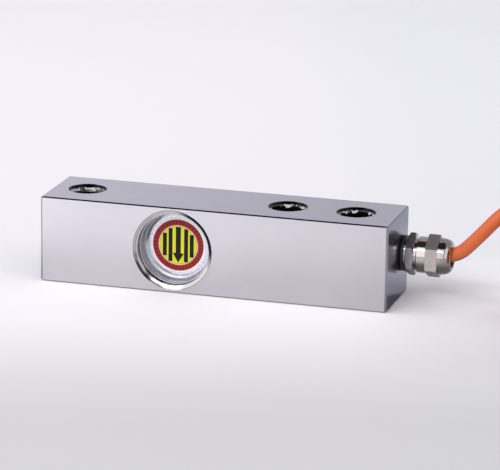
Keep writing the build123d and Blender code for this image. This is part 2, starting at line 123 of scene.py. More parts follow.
class BarSettings(PropertyGroup):
    end_bevel: length("End edge chamfer", 0.7, "Chamfer on the four upright edges")
    long_bevel: length("Long edge chamfer", 0.45, "Chamfer round the top and the underside")
    rim_chamfer: length("Hole rim chamfer", 0.8, "Chamfer at both rims of each hole")
    pocket_radius: length("Pocket radius", 13.5, "Radius of the gauge pockets")
    pocket_chamfer: length("Pocket chamfer", 1.4, "Width of the chamfer at each pocket's mouth")
    chamfer_depth: length("Pocket chamfer depth", 0.9, "Depth of the chamfer at each pocket's mouth")
    web: length("Web", 4.8, "Thickness of the web between the pockets")
    port_radius: length("Port radius", 6.0, "Radius of the gland's port")
    port_depth: length("Port depth", 8.5, "Depth of the gland's port")
    thread_pitch: length("Thread pitch", 1.27, "Pitch of the load hole's thread")
    thread_height: length("Thread height", 0.68, "Height of the load hole's thread")
    steel: colour("Plated steel", (0.87, 0.86, 0.91), "Colour of the ground faces")
    end_steel: colour("Milled end", (0.25, 0.255, 0.335), "Colour of the milled end faces")


class SealSettings(PropertyGroup):
    wall: length("Cup wall", 0.55, "Thickness of the drawn cups")
    corner: length("Cup corner", 1.7, "Inside radius at the cups' floors")
    rim_depth: length("Rim depth", 3.2, "Depth of the cups' rims below the side faces")
    floor_depth: length("Floor depth", 7.8, "Depth of the cups' floors below the side faces")
    bead_height: length("Weld height", 0.25, "Height of the weld bead over the rim")
    bead_ripples: IntProperty(name="Weld ripples", default=72, description="Ripples in each weld")
    cup_steel: colour("Cup steel", (0.78, 0.79, 0.86), "Colour of the drawn cups")
    white: colour("Label rim", (0.93, 0.93, 0.92), "Colour of the label's rim")
    red: colour("Label ring", (0.36, 0.022, 0.028), "Colour of the label's ring")
    yellow: colour("Label centre", (0.68, 0.63, 0.03), "Colour of the label's centre")
    ink: colour("Label sign", (0.006, 0.007, 0.006), "Colour of the label's load sign")


class GlandSettings(PropertyGroup):
    across_flats: length("Across flats", 13.8, "Width of both hexagons across their flats")
    collar_radius: length("Collar radius", 6.7, "Radius of the collar on the sealing ring")
    collar_end: length("Collar end", 2.2, "Where the collar ends, from the bar's end face")
    body_hex: length("Body hexagon", 2.9, "Length of the body's hexagon")
    body_chamfer: length("Body hexagon chamfer", 0.6, "Length of the cones on the body's hexagon")
    spigot_radius: length("Spigot radius", 5.6, "Radius of the spigot inside the nut")
    nut_start: length("Nut start", 5.9, "Where the nut starts, from the bar's end face")
    skirt_radius: length("Skirt radius", 6.6, "Radius of the nut's round skirt and dome")
    nut_hex_start: length("Nut hexagon start", 9.45, "Where the nut's hexagon starts")
    nut_hex: length("Nut hexagon", 4.45, "Length of the nut's hexagon")
    nut_chamfer: length("Nut hexagon chamfer", 0.25, "Length of the cones on the nut's hexagon")
    dome_round: length("Dome round", 3.6, "Length of the dome's round nose")
    mouth_radius: length("Mouth radius", 3.5, "Radius of the nut's mouth")
    mouth_flare: length("Mouth flare", 0.7, "Width of the flare round the mouth")
    nickel: colour("Polished nickel", (0.63, 0.58, 0.56), "Colour of the turned faces")
    nut_flats: colour("Nut flats", (0.55, 0.49, 0.47), "Colour of the nut's drawn flats")
    body_flats: colour("Body flats", (0.36, 0.33, 0.33), "Colour of the body's drawn flats")


class CableSettings(PropertyGroup):
    diameter: length("Diameter", 5.1, "Outer diameter of the cable")
    whole: FloatProperty(
        name="Length", default=3.0, unit="LENGTH", description="Length of the whole cable"
    )
    inner_radius: length("Inner radius", 15.5, "Radius of the hank's inner turns")
    straight: length("Straight", 96.0, "Length of the hank's straight sides")
    tie_thickness: length("Tie thickness", 0.8, "Thickness of the straps round the hank")
    jacket: colour("Jacket", (0.59, 0.11, 0.023), "Colour of the cable's jacket")


class StudioSettings(PropertyGroup):
    camera_place: FloatVectorProperty(
        name="Camera",
        default=(0.32343, -1.10755, 0.33553),
        precision=5,
        unit="LENGTH",
        description="Where the camera stands",
    )
    azimuth: FloatProperty(name="Azimuth", default=15.81, description="Camera's turn, in degrees")
    elevation: FloatProperty(name="Elevation", default=15.339, description="Camera's height, in degrees")
    roll: FloatProperty(name="Roll", default=0.879, description="Camera's roll, in degrees")
    lens: FloatProperty(name="Lens", default=236.9, description="Focal length in millimetres")
    floor: colour("Floor", (0.88, 0.873, 0.89), "Colour of the floor")


# Node trees

# The sockets of a Mix node that blends colours
MIX_FACTOR, MIX_A, MIX_B, MIX_COLOUR = 0, 6, 7, 2


def fill(tree, made, inputs):
    """Links or sets a node's inputs. An underscore in a name stands for a space."""
    for key, value in inputs.items():
        socket = made.inputs[key.replace("_", " ") if isinstance(key, str) else key]
        if isinstance(value, bpy.types.NodeSocket):
            tree.links.new(value, socket)
        else:
            socket.default_value = value


def node(tree, kind, inputs=None, **settings):
    """Adds a node, sets its settings, and links or sets its inputs."""
    made = tree.nodes.new(kind)
    for key, value in settings.items():
        setattr(made, key, value)
    fill(tree, made, inputs or {})
    return made


def value_of(tree, operation, *terms):
    """The result of a Math node."""
    return node(tree, "ShaderNodeMath", dict(enumerate(terms)), operation=operation).outputs[0]


def product(tree, first, *others):
    """Values multiplied together."""
    for other in others:
        first = value_of(tree, "MULTIPLY", first, other)
    return first


def vector_of(tree, operation, *terms):
    """The vector result of a Vector Math node."""
    return node(tree, "ShaderNodeVectorMath", dict(enumerate(terms)), operation=operation).outputs[0]


def shaded(tree, face, share):
    """A colour multiplied by a factor or by another colour."""
    return vector_of(tree, "MULTIPLY", face, share)


def parts_of(tree, vector):
    """The X, Y and Z of a vector."""
    return node(tree, "ShaderNodeSeparateXYZ", {0: vector}).outputs


def combined(tree, **parts):
    """A vector from its X, Y and Z."""
    return node(tree, "ShaderNodeCombineXYZ", parts).outputs[0]


def radius_of(tree, a, b):
    """The distance from an axis, from the offsets across it."""
    flat = combined(tree, X=a, Y=b)
    return node(tree, "ShaderNodeVectorMath", {0: flat}, operation="LENGTH").outputs["Value"]


def spread(tree, value, low, high, to_low=0.0, to_high=1.0):
    """A value brought from one range to another, smooth at both ends."""
    inputs = {"Value": value, "From Min": low, "From Max": high, "To Min": to_low, "To Max": to_high}
    return node(tree, "ShaderNodeMapRange", inputs, interpolation_type="SMOOTHSTEP").outputs["Result"]


def blended(tree, amount, a, b):
    """A colour between two others."""
    inputs = {MIX_FACTOR: amount, MIX_A: a, MIX_B: b}
    return node(tree, "ShaderNodeMix", inputs, data_type="RGBA").outputs[MIX_COLOUR]


def noise(tree, vector, scale, detail, roughness=0.5):
    """Soft noise, most of it close to 0.5."""
    inputs = {"Vector": vector, "Scale": scale, "Detail": detail, "Roughness": roughness}
    return node(tree, "ShaderNodeTexNoise", inputs).outputs["Fac"]


def opaque(shade):
    return (*shade, 1.0)


def new_group(name, inputs, outputs):
    """A node group with its sockets, and its inner inputs and outputs by name."""
    tree = bpy.data.node_groups.new(name, "ShaderNodeTree")
    for label, kind, default in inputs:
        socket = tree.interface.new_socket(label, in_out="INPUT", socket_type=kind)
        if default is not None:
            socket.default_value = default
    for label, kind in outputs:
        tree.interface.new_socket(label, in_out="OUTPUT", socket_type=kind)
    return tree, tree.nodes.new("NodeGroupInput").outputs, tree.nodes.new("NodeGroupOutput").inputs


FLOAT = "NodeSocketFloat"
VECTOR = "NodeSocketVector"
RELIEF = [("Mask", FLOAT), ("Normal", VECTOR)]


def relief(tree, height, depth, result):
    """Puts out a height as a mask and as a bump of a depth."""
    bump = node(tree, "ShaderNodeBump", {"Height": height, "Distance": depth})
    tree.links.new(height, result["Mask"])
    tree.links.new(bump.outputs[0], result["Normal"])


def ground_marks_group():
    """Fine lines left by a grinding wheel, along the X of the vector given."""
    inputs = [("Vector", VECTOR, None), ("Along", FLOAT, 60.0), ("Across", FLOAT, 4000.0)]
    inputs += [("Depth", FLOAT, 0.01 * MM)]
    tree, given, result = new_group("Ground marks", inputs, RELIEF)
    scale = combined(tree, X=given["Along"], Y=given["Across"], Z=given["Across"])
    place = vector_of(tree, "MULTIPLY", given["Vector"], scale)
    relief(tree, noise(tree, place, 1.0, 3.0, 0.65), given["Depth"], result)
    return tree


def turning_group():
    """Rings left by a lathe or drill round the X of the vector given."""
    inputs = [("Vector", VECTOR, None), ("Lines", FLOAT, 3500.0), ("Depth", FLOAT, 0.01 * MM)]
    tree, given, result = new_group("Turning rings", inputs, RELIEF)
    x, y, z = parts_of(tree, given["Vector"])
    turn = product(tree, value_of(tree, "ARCTAN2", z, y), 0.4 * MM)
    place = combined(tree, X=x, Y=radius_of(tree, y, z), Z=turn)
    relief(tree, noise(tree, place, given["Lines"], 2.0), given["Depth"], result)
    return tree


def haze_group():
    """Slow changes of gloss from plating and handling. Noise is widened, since it keeps close to 0.5."""
    inputs = [("Vector", VECTOR, None), ("Patches", FLOAT, 60.0), ("Roughness", FLOAT, 0.3)]
    inputs += [("Spread", FLOAT, 0.05)]
    outputs = [("Mask", FLOAT), ("Roughness", FLOAT)]
    tree, given, result = new_group("Handling haze", inputs, outputs)
    patches = noise(tree, given["Vector"], given["Patches"], 4.0, 0.6)
    widened = product(tree, value_of(tree, "SUBTRACT", patches, 0.5), given["Spread"], 4.0)
    tree.links.new(patches, result["Mask"])
    tree.links.new(value_of(tree, "ADD", given["Roughness"], widened), result["Roughness"])
    return tree


def grain_group():
    """The fine grain of a moulded or extruded surface."""
    inputs = [("Vector", VECTOR, None), ("Grains", FLOAT, 3000.0), ("Depth", FLOAT, 0.02 * MM)]
    tree, given, result = new_group("Moulded grain", inputs, RELIEF)
    relief(tree, noise(tree, given["Vector"], given["Grains"], 3.0, 0.6), given["Depth"], result)
    return tree


def edge_group():
    """A mask along the edges of a block that is centred on the vector given, where a highlight is painted."""
    inputs = [("Vector", VECTOR, None), ("Half size", VECTOR, None), ("Width", FLOAT, 0.6 * MM)]
    tree, given, result = new_group("Edge polish", inputs, [("Mask", FLOAT)])
    reach = vector_of(tree, "ABSOLUTE", given["Vector"])
    x, y, z = parts_of(tree, vector_of(tree, "SUBTRACT", given["Half size"], reach))
    nearer = value_of(tree, "MINIMUM", x, y)
    farther = value_of(tree, "MAXIMUM", x, y)
    second = value_of(tree, "MAXIMUM", nearer, value_of(tree, "MINIMUM", farther, z))
    tree.links.new(spread(tree, second, 0.0, given["Width"], 1.0, 0.0), result["Mask"])
    return tree


GROUP_MAKERS = {
    "Ground marks": ground_marks_group,
    "Turning rings": turning_group,
    "Handling haze": haze_group,
    "Moulded grain": grain_group,
    "Edge polish": edge_group,
}


def effect(tree, name, **inputs):
    """Places a shared effect in a material, with its own values."""
    made = tree.nodes.new("ShaderNodeGroup")
    made.node_tree = bpy.data.node_groups.get(name) or GROUP_MAKERS[name]()
    fill(tree, made, inputs)
    return made.outputs


# Materials

# What tone takes: a direction, two distances in mm along it, and the factor at each
Tone = namedtuple("Tone", "way start end first last")

ALONG = (1, 0, 0)
UP = (0, 0, 1)


def once(make):
    """Makes a material only once, so that like pieces share it."""

    @wraps(make)
    def shared(name, *given, **values):
        return bpy.data.materials.get(name) or make(name, *given, **values)

    return shared


def new_material(name, **values):
    """A material with its Principled shader, its Object coordinates and plain values set."""
    material = bpy.data.materials.new(name)
    material.use_nodes = True
    tree = material.node_tree
    tree.nodes.clear()
    shader = node(tree, "ShaderNodeBsdfPrincipled", values)
    node(tree, "ShaderNodeOutputMaterial", {"Surface": shader.outputs[0]})
    place = node(tree, "ShaderNodeTexCoord").outputs["Object"]
    return material, tree, shader, place


def link(tree, shader, **sockets):
    fill(tree, shader, sockets)


def centred(tree, place, centre, turn=(0, 0, 0)):
    """The coordinates moved to a centre, then turned."""
    moved = vector_of(tree, "SUBTRACT", place, tuple(centre))
    return node(tree, "ShaderNodeMapping", {"Vector": moved, "Rotation": turn}).outputs[0]


def toned(tree, mask, base, change):
    """A colour that varies a little with a mask, darker and lighter than its base."""
    dark = opaque([c * (1 - change) for c in base])
    light = opaque([min(1.0, c * (1 + change)) for c in base])
    return blended(tree, mask, dark, light)


def tone(tree, place, way, start, end, first=0.0, last=1.0):
    """A factor that goes from first to last between two distances in mm along a direction."""
    far = node(tree, "ShaderNodeVectorMath", {0: place, 1: way}, operation="DOT_PRODUCT")
    return spread(tree, far.outputs["Value"], start * MM, end * MM, first, last)


def towards(tree, place, angle, start, end, first=0.0, last=1.0):
    """A tone towards an angle of the side face, counted from the cable's end upwards."""
    way = (cos(radians(angle)), 0, sin(radians(angle)))
    return tone(tree, place, way, start, end, first, last)


def between(tree, value, start, end, soft):
    """1 between two distances in mm, 0 beyond them."""
    rise = spread(tree, value, (start - soft) * MM, start * MM)
    fall = spread(tree, value, end * MM, (end + soft) * MM, 1.0, 0.0)
    return product(tree, rise, fall)


def darkened(tree, share, mask, amount):
    """A factor lowered by an amount where the mask is 1."""
    return product(tree, share, value_of(tree, "SUBTRACT", 1.0, product(tree, mask, amount)))


@once
def ground_steel(name, base, roughness, tones, turn=(0, 0, 0), depth=0.003 * MM):
    """Plated steel ground along one direction, with a painted highlight along the block's edges and painted
    shade over its faces.
    """
    material, tree, shader, place = new_material(name, Metallic=1.0)
    here = centred(tree, place, BAR_CENTRE)
    lay = centred(tree, place, BAR_CENTRE, turn)
    marks = effect(tree, "Ground marks", Vector=lay, Along=40.0, Across=2200.0, Depth=depth)
    haze = effect(tree, "Handling haze", Vector=here, Patches=30.0, Roughness=roughness, Spread=0.015)
    # Painted highlight: the colour turns brighter along the block's edges
    edge = effect(tree, "Edge polish", Vector=here, Half_size=tuple(BAR_SIZE / 2), Width=0.7 * MM)
    bright = opaque([min(1.0, c * 1.12 + 0.03) for c in base])
    face = blended(tree, edge["Mask"], toned(tree, marks["Mask"], base, 0.04), bright)
    # Painted shade: the given gradients darken the colour and the specular tint
    share = product(tree, *[tone(tree, here, *given) for given in tones])
    mottle = spread(tree, haze["Mask"], 0.3, 0.7, 0.96, 1.02)
    face = shaded(tree, face, product(tree, share, mottle))
    link(tree, shader, Base_Color=face, Specular_Tint=share)
    link(tree, shader, Roughness=haze["Roughness"], Normal=marks["Normal"])
    return material


def recess_places(tree, place):
    """Coordinates in the gauge recess: upright, turned to its axis, and the depth below the side face."""
    middle = (WEB_X, 0, MID_Z)
    upright = centred(tree, place, middle)
    axial = centred(tree, place, middle, (0, 0, radians(90)))
    across = value_of(tree, "ABSOLUTE", parts_of(tree, upright)[1])
    return upright, axial, value_of(tree, "SUBTRACT", SIDE_FACE, across)


@once
def pocket_steel(name, base, roughness):
    """Turned steel of a gauge pocket, with painted shade: all but black at its upper right, thin dark lines
    at its lip and on its left, and its chamfer and wall dark at its lower left.
    """
    material, tree, shader, place = new_material(name, Metallic=1.0)
    upright, axial, depth = recess_places(tree, place)
    rings = effect(tree, "Turning rings", Vector=axial, Lines=2600.0, Depth=0.01 * MM)
    haze = effect(tree, "Handling haze", Vector=axial, Patches=120.0, Roughness=roughness, Spread=0.04)
    # Painted shade: the steel painted near black towards the upper right
    share = towards(tree, upright, 33, start=8.5, end=12.3, first=1.0, last=0.02)
    # Painted shade: thin dark lines at the lip and on the left, and a dark streak at the lower left
    lip = between(tree, depth, start=0.0, end=0.1, soft=0.08)
    share = darkened(tree, share, lip, 0.7)
    left_line = between(tree, depth, start=0.42, end=0.55, soft=0.1)
    left = towards(tree, upright, 170, start=8.0, end=11.0)
    share = darkened(tree, share, product(tree, left_line, left), 0.45)
    low_streak = between(tree, depth, start=0.12, end=0.45, soft=0.12)
    low = towards(tree, upright, 228, start=12.2, end=13.4)
    share = darkened(tree, share, product(tree, low_streak, low), 0.85)
    # Painted shade: the chamfer painted darker towards the lower left, the wall darker all round and most at
    # the lower left
    chamfer = spread(tree, depth, 0.85 * MM, 0.75 * MM)
    chamfer_painted_shade = towards(tree, upright, 237, start=8.8, end=10.8, last=0.5)
    share = darkened(tree, share, chamfer, chamfer_painted_shade)
    wall = spread(tree, depth, 0.85 * MM, 1.0 * MM)
    wall_painted_shade = towards(tree, upright, 237, start=12.4, end=13.2, first=0.35, last=0.96)
    share = darkened(tree, share, wall, wall_painted_shade)
    body = shaded(tree, toned(tree, rings["Mask"], base, 0.1), share)
    link(tree, shader, Base_Color=body, Roughness=haze["Roughness"], Normal=rings["Normal"])
    return material


@once
def cup_steel(name, base, roughness):
    """Drawn sheet, darker in a ring beside the bead, with painted shade on its wall, along its seam at the
    lower left and in its corner at the upper left.
    """
    material, tree, shader, place = new_material(name, Metallic=1.0)
    upright, axial, depth = recess_places(tree, place)
    x, _, z = parts_of(tree, upright)
    radius = radius_of(tree, x, z)
    rings = effect(tree, "Turning rings", Vector=axial, Lines=2600.0, Depth=0.008 * MM)
    grain = effect(tree, "Moulded grain", Vector=axial, Grains=1500.0, Depth=0.01 * MM)
    haze = effect(tree, "Handling haze", Vector=axial, Patches=120.0, Roughness=roughness, Spread=0.04)
    bead_dark_ring = between(tree, depth, start=3.25, end=3.6, soft=0.1)
    share = darkened(tree, 1.0, bead_dark_ring, 0.8)
    # Painted shade: the wall painted darker, most towards the lower left, the seam dark at the lower left and
    # the corner dark at the upper left
    wall = spread(tree, radius, 10.95 * MM, 11.15 * MM)
    wall_painted_shade = towards(tree, upright, 225, start=-4.0, end=6.0, first=0.12, last=0.4)
    share = darkened(tree, share, wall, wall_painted_shade)
    seam = between(tree, radius, start=10.95, end=11.2, soft=0.1)
    low = towards(tree, upright, 237, start=10.2, end=10.7)
    share = darkened(tree, share, product(tree, seam, low), 0.8)
    corner = between(tree, radius, start=11.5, end=12.0, soft=0.4)
    upper_left = towards(tree, upright, 148, start=9.6, end=11.2)
    share = darkened(tree, share, product(tree, corner, upper_left), 0.75)
    pebbles = spread(tree, grain["Mask"], 0.35, 0.65)
    body = shaded(tree, toned(tree, pebbles, base, 0.16), share)
    link(tree, shader, Base_Color=body, Roughness=haze["Roughness"], Normal=rings["Normal"])
    return material


@once
def bore_steel(name, base, roughness, ring_depth, highlight_band_to, highlight_band_grey):
    """A hole through the bar: a rim with painted dark shade, below it a ragged pale matt band that is a
    painted highlight, and a dark bore.
    """
    material, tree, shader, place = new_material(name)
    axial = centred(tree, place, (0, 0, 0), (0, radians(90), 0))
    rings = effect(tree, "Turning rings", Vector=axial, Lines=2600.0, Depth=ring_depth)
    jagged_noise = effect(tree, "Moulded grain", Vector=place, Grains=420.0, Depth=0.01 * MM)["Mask"]
    below = value_of(tree, "SUBTRACT", BAR_HIGH.z, parts_of(tree, place)[2])
    ragged = value_of(tree, "ADD", below, spread(tree, jagged_noise, 0.3, 0.7, -0.5 * MM, 0.5 * MM))
    # Painted highlight: a ragged, pale, matt and less metallic band below the rim
    plated = product(
        tree,
        between(tree, ragged, start=0.9, end=highlight_band_to, soft=0.12),
        spread(tree, jagged_noise, 0.46, 0.54, 1.0, 0.2),
        spread(tree, below, 0.82 * MM, 0.86 * MM),
    )
    # Painted shade: the rim's chamfer painted darker
    rim_start = spread(tree, below, 0.05 * MM, 0.16 * MM)
    rim_end = spread(tree, below, 0.78 * MM, 0.82 * MM, 1.0, 0.0)
    rim_painted_shade = spread(tree, jagged_noise, 0.6, 0.68, 0.95, 0.3)
    share = darkened(tree, 1.0, product(tree, rim_start, rim_end), rim_painted_shade)
    body = shaded(tree, toned(tree, rings["Mask"], base, 0.12), share)
    body = blended(tree, plated, body, opaque([highlight_band_grey] * 3))
    metallic = darkened(tree, 1.0, plated, 0.75)
    dull = spread(tree, plated, 0.0, 1.0, roughness, 0.5)
    link(tree, shader, Base_Color=body, Metallic=metallic, Roughness=dull, Normal=rings["Normal"])
    return material


@once
def polished_nickel(name, base, roughness):
    """Turned nickel plate, all but a mirror, with painted shade on the gland's underside and on the dome's
    nose.
    """
    material, tree, shader, place = new_material(name, Metallic=1.0)
    here = centred(tree, place, GLAND_PLACE)
    rings = effect(tree, "Turning rings", Vector=here, Lines=2600.0, Depth=0.002 * MM)
    haze = effect(tree, "Handling haze", Vector=here, Patches=220.0, Roughness=roughness, Spread=0.04)
    # Painted shade: darker towards the underside and on the dome's nose
    underside = tone(tree, here, way=UP, start=-3.4, end=1.2, first=0.3, last=1.0)
    nose = tone(tree, here, way=ALONG, start=12.5, end=15.5, first=1.0, last=0.72)
    body = shaded(tree, toned(tree, rings["Mask"], base, 0.1), product(tree, underside, nose))
    link(tree, shader, Base_Color=body, Roughness=haze["Roughness"], Normal=rings["Normal"])
    return material


@once
def nickel_flats(name, base, roughness):
    """Nickel plate over a drawn hexagon bar: finely pebbled, a little dull, with painted shade underneath."""
    material, tree, shader, place = new_material(name, Metallic=1.0)
    here = centred(tree, place, GLAND_PLACE)
    grain = effect(tree, "Moulded grain", Vector=here, Grains=3000.0, Depth=0.03 * MM)
    haze = effect(tree, "Handling haze", Vector=here, Patches=260.0, Roughness=roughness, Spread=0.05)
    pebbles = spread(tree, grain["Mask"], 0.35, 0.65)
    # Painted shade: the flats painted darker underneath
    underside = tone(tree, here, way=UP, start=-5.2, end=-3.8, first=0.35, last=1.0)
    body = shaded(tree, toned(tree, pebbles, base, 0.2), underside)
    link(tree, shader, Base_Color=body, Roughness=haze["Roughness"], Normal=grain["Normal"])
    return material


@once
def moulded(name, base, roughness, grains, depth, change=0.1, **values):
    """Rubber, plastic, lacquer or drawn wire with a fine grain."""
    material, tree, shader, place = new_material(name, **values)
    grain = effect(tree, "Moulded grain", Vector=place, Grains=grains, Depth=depth)
    haze = effect(tree, "Handling haze", Vector=place, Patches=150.0, Roughness=roughness, Spread=0.05)
    body = toned(tree, haze["Mask"], base, change)
    link(tree, shader, Base_Color=body, Roughness=haze["Roughness"], Normal=grain["Normal"])
    return material


@once
def jacket_plastic(name, base):
    """Extruded plastic with a thin gloss, with painted shade on its underside."""
    gloss = {"Specular IOR Level": 0.2, "Coat Weight": 1.0, "Coat IOR": 1.4, "Coat Roughness": 0.09}
    material, tree, shader, place = new_material(name, **gloss)
    grain = effect(tree, "Moulded grain", Vector=place, Grains=1500.0, Depth=0.006 * MM)
    haze = effect(tree, "Handling haze", Vector=place, Patches=150.0, Roughness=0.4, Spread=0.05)
    # Painted shade: darker where the surface faces down
    facing = node(tree, "ShaderNodeNewGeometry").outputs["Normal"]
    underside = spread(tree, parts_of(tree, facing)[2], -0.75, -0.45, 0.3, 1.0)
    body = shaded(tree, toned(tree, haze["Mask"], base, 0.08), underside)
    link(tree, shader, Base_Color=body, Roughness=haze["Roughness"], Normal=grain["Normal"])
    return material


@once
def label_print(name, seal):
    """The label's fields of colour: white rim, red ring with plain ticks, yellow centre."""
    material, tree, shader, place = new_material(name, Specular_IOR_Level=0.25)
    here = centred(tree, place, (WEB_X, 0.0, MID_Z))
    haze = effect(tree, "Handling haze", Vector=here, Patches=300.0, Roughness=0.32, Spread=0.04)
    grain = effect(tree, "Moulded grain", Vector=here, Grains=3500.0, Depth=0.004 * MM)
    x, _, z = parts_of(tree, here)
    share = value_of(tree, "DIVIDE", radius_of(tree, x, z), LABEL_RADIUS)
    dark_red = opaque([c * 0.35 for c in seal.red])
    cream = (0.86, 0.76, 0.42, 1.0)
    # Each field starts at a share of the label's radius
    fields = [
        (0.0, opaque(seal.yellow)),
        (0.695, opaque(seal.ink)),
        (0.705, cream),
        (0.733, dark_red),
        (0.745, opaque(seal.red)),
        (0.938, dark_red),
        (0.952, opaque(seal.white)),
    ]
    ramp = node(tree, "ShaderNodeValToRGB", {0: share})
    ramp.color_ramp.interpolation = "CONSTANT"
    stops = ramp.color_ramp.elements
    stops.remove(stops[1])
    stops[0].color = fields[0][1]
    for spot, shade in fields[1:]:
        stops.new(spot).color = shade
    # Ticks all round, between two shares of the radius
    ticks_round = 40
    turn = product(tree, value_of(tree, "ARCTAN2", z, x), ticks_round / (2 * pi))
    ticks = product(
        tree,
        spread(tree, share, 0.785, 0.795),
        spread(tree, share, 0.9, 0.91, 1.0, 0.0),
        spread(tree, value_of(tree, "PINGPONG", turn, 0.5), 0.15, 0.25),
        0.8,
    )
    printed = blended(tree, ticks, ramp.outputs[0], dark_red)
    link(tree, shader, Base_Color=printed, Roughness=haze["Roughness"], Normal=grain["Normal"])
    return material


def seal_rubber():
    return moulded("Black seal rubber", (0.012, 0.012, 0.013), 0.38, grains=1800.0, depth=0.01 * MM)


# Modelling

# How far a cutting tool reaches past the face it cuts
OVER = 1.0 * MM


def activate(piece):
    bpy.ops.object.select_all(action="DESELECT")
    piece.select_set(True)
    bpy.context.view_layer.objects.active = piece


def named(name):
    """Names the new object, with its place put into its mesh."""
    piece = bpy.context.object
    piece.name = name
    piece.data.name = name
    bpy.ops.object.transform_apply(location=True, rotation=True, scale=True)
    return piece


def block(name, low, high):
    """A block between two corners."""
    bpy.ops.object.select_all(action="DESELECT")
    low, high = Vector(low), Vector(high)
    bpy.ops.mesh.primitive_cube_add(size=1, location=(low + high) / 2, scale=high - low)
    return named(name)


def select_edges(piece, chosen):
    """Goes into edit mode with only the edges selected whose two ends pass a test."""
    activate(piece)
    bpy.ops.object.mode_set(mode="EDIT")
    bpy.ops.mesh.select_mode(type="EDGE")
    bpy.ops.mesh.select_all(action="DESELECT")
    bpy.ops.object.mode_set(mode="OBJECT")
    spots = [vertex.co for vertex in piece.data.vertices]
    for edge in piece.data.edges:
        a, b = edge.vertices
        edge.select = chosen(spots[a], spots[b])
    bpy.ops.object.mode_set(mode="EDIT")


def bevel_edges(piece, chosen, width, segments=1):
    select_edges(piece, chosen)
    bpy.ops.mesh.bevel(offset=width, segments=segments, affect="EDGES")
    bpy.ops.object.mode_set(mode="OBJECT")


def lengthwise(a, b):
    """Whether an edge between two places runs mostly along X."""
    return abs(a.x - b.x) > max(abs(a.y - b.y), abs(a.z - b.z))


def upright(a, b):
    """Whether an edge between two places runs mostly along Z."""
    return abs(a.z - b.z) > max(abs(a.x - b.x), abs(a.y - b.y))


def draw_outline(points, closed):
    """Draws an outline in edit mode, each corner extruded from the one before."""
    bpy.ops.object.select_all(action="DESELECT")
    bpy.ops.mesh.primitive_plane_add(size=MM)
    bpy.ops.object.mode_set(mode="EDIT")
    bpy.ops.mesh.select_mode(type="VERT")
    bpy.ops.mesh.select_all(action="SELECT")
    bpy.ops.mesh.merge(type="CENTER")
    bpy.ops.transform.translate(value=points[0])
    here = Vector(points[0])
    for point in [*points[1:], points[0]] if closed else points[1:]:
        step = Vector(point) - here
        bpy.ops.mesh.extrude_vertices_move(TRANSFORM_OT_translate={"value": tuple(step)})
        here = Vector(point)
    bpy.ops.mesh.select_all(action="SELECT")
    bpy.ops.mesh.remove_doubles(threshold=MERGE)


def close_shell():
    """Merges doubles and turns every face outwards, in edit mode."""
    bpy.ops.mesh.select_all(action="SELECT")
    bpy.ops.mesh.remove_doubles(threshold=MERGE)
    bpy.ops.mesh.normals_make_consistent(inside=False)
    bpy.ops.object.mode_set(mode="OBJECT")


def turned(name, points, place, along, steps):
    """A turned shape from (distance along its axis, radius) points."""
    along = Vector(along)
    out = Vector((0, 0, 1)) if along.z == 0 else Vector((1, 0, 0))
    closed = all(radius > 0 for _, radius in points)
    draw_outline([along * reach + out * radius for reach, radius in points], closed)
    bpy.ops.mesh.spin(steps=steps, angle=2 * pi, use_auto_merge=True, center=(0, 0, 0), axis=along)
    close_shell()
    bpy.context.object.location = place
    return named(name)


def arc(centre, radius, start, end):
    """Points of an arc in an outline, angles in degrees from the axis towards the radius."""
    steps = 6
    spots = []
    for i in range(steps + 1):
        a = radians(start + (end - start) * i / steps)
        spots.append((centre[0] + radius * cos(a), centre[1] + radius * sin(a)))
    return spots


def combine(piece, tool, operation):
    """Cuts, joins or intersects a piece with a tool, which is used up."""
    activate(piece)
    bpy.ops.object.modifier_add(type="BOOLEAN")
    modifier = piece.modifiers[-1]
    modifier.operation = operation
    modifier.object = tool
    modifier.solver = "EXACT"
    bpy.ops.object.modifier_apply(modifier=modifier.name)
    bpy.data.objects.remove(tool)
    return piece


def joined(name, pieces):
    """Several shapes as one piece."""
    activate(pieces[0])
    for piece in pieces:
        piece.select_set(True)
    bpy.ops.object.join()
    return named(name)


def soften(piece, width, segments, angle):
    """A small bevel along the edges that are sharper than an angle."""
    activate(piece)
    bpy.ops.object.modifier_add(type="BEVEL")
    modifier = piece.modifiers[-1]
    modifier.width = width
    modifier.segments = segments
    modifier.limit_method = "ANGLE"
    modifier.angle_limit = radians(angle)
    bpy.ops.object.modifier_apply(modifier=modifier.name)


def finish_piece(piece, materials, nodes, angle=30):
    """Smooths a piece, gives it its materials, and sets it in the frame."""
    activate(piece)
    bpy.ops.object.shade_smooth_by_angle(angle=radians(angle))
    for material in materials:
        piece.data.materials.append(material)
    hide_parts(*nodes)
    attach(piece, "root")
    return piece


def paint_faces(piece, chosen):
    """Gives each face the material whose number a test returns for its centre and normal."""
    for face in piece.data.polygons:
        face.material_index = chosen(face.center, face.normal)


# Bar

# The numbers of the bar's finishes, in the order of bar_finishes
GROUND, MILLED_END, DRILLED, POCKET, EDGE, END_EDGE = range(6)
HOLES = [(LOAD_X, LOAD_RADIUS), *((x, MOUNT_RADIUS) for x in MOUNT_XS)]


def hole_tool(x, radius, chamfer):
    """The tool for a through hole: the bore and its two chamfered rims."""
    top = BAR_HIGH.z
    points = [
        (-OVER, 0),
        (-OVER, radius + chamfer + OVER),
        (chamfer, radius),
        (top - chamfer, radius),
        (top + OVER, radius + chamfer + OVER),
        (top + OVER, 0),
    ]
    return turned("hole_tool", points, (x, 0, 0), UP, steps=96)


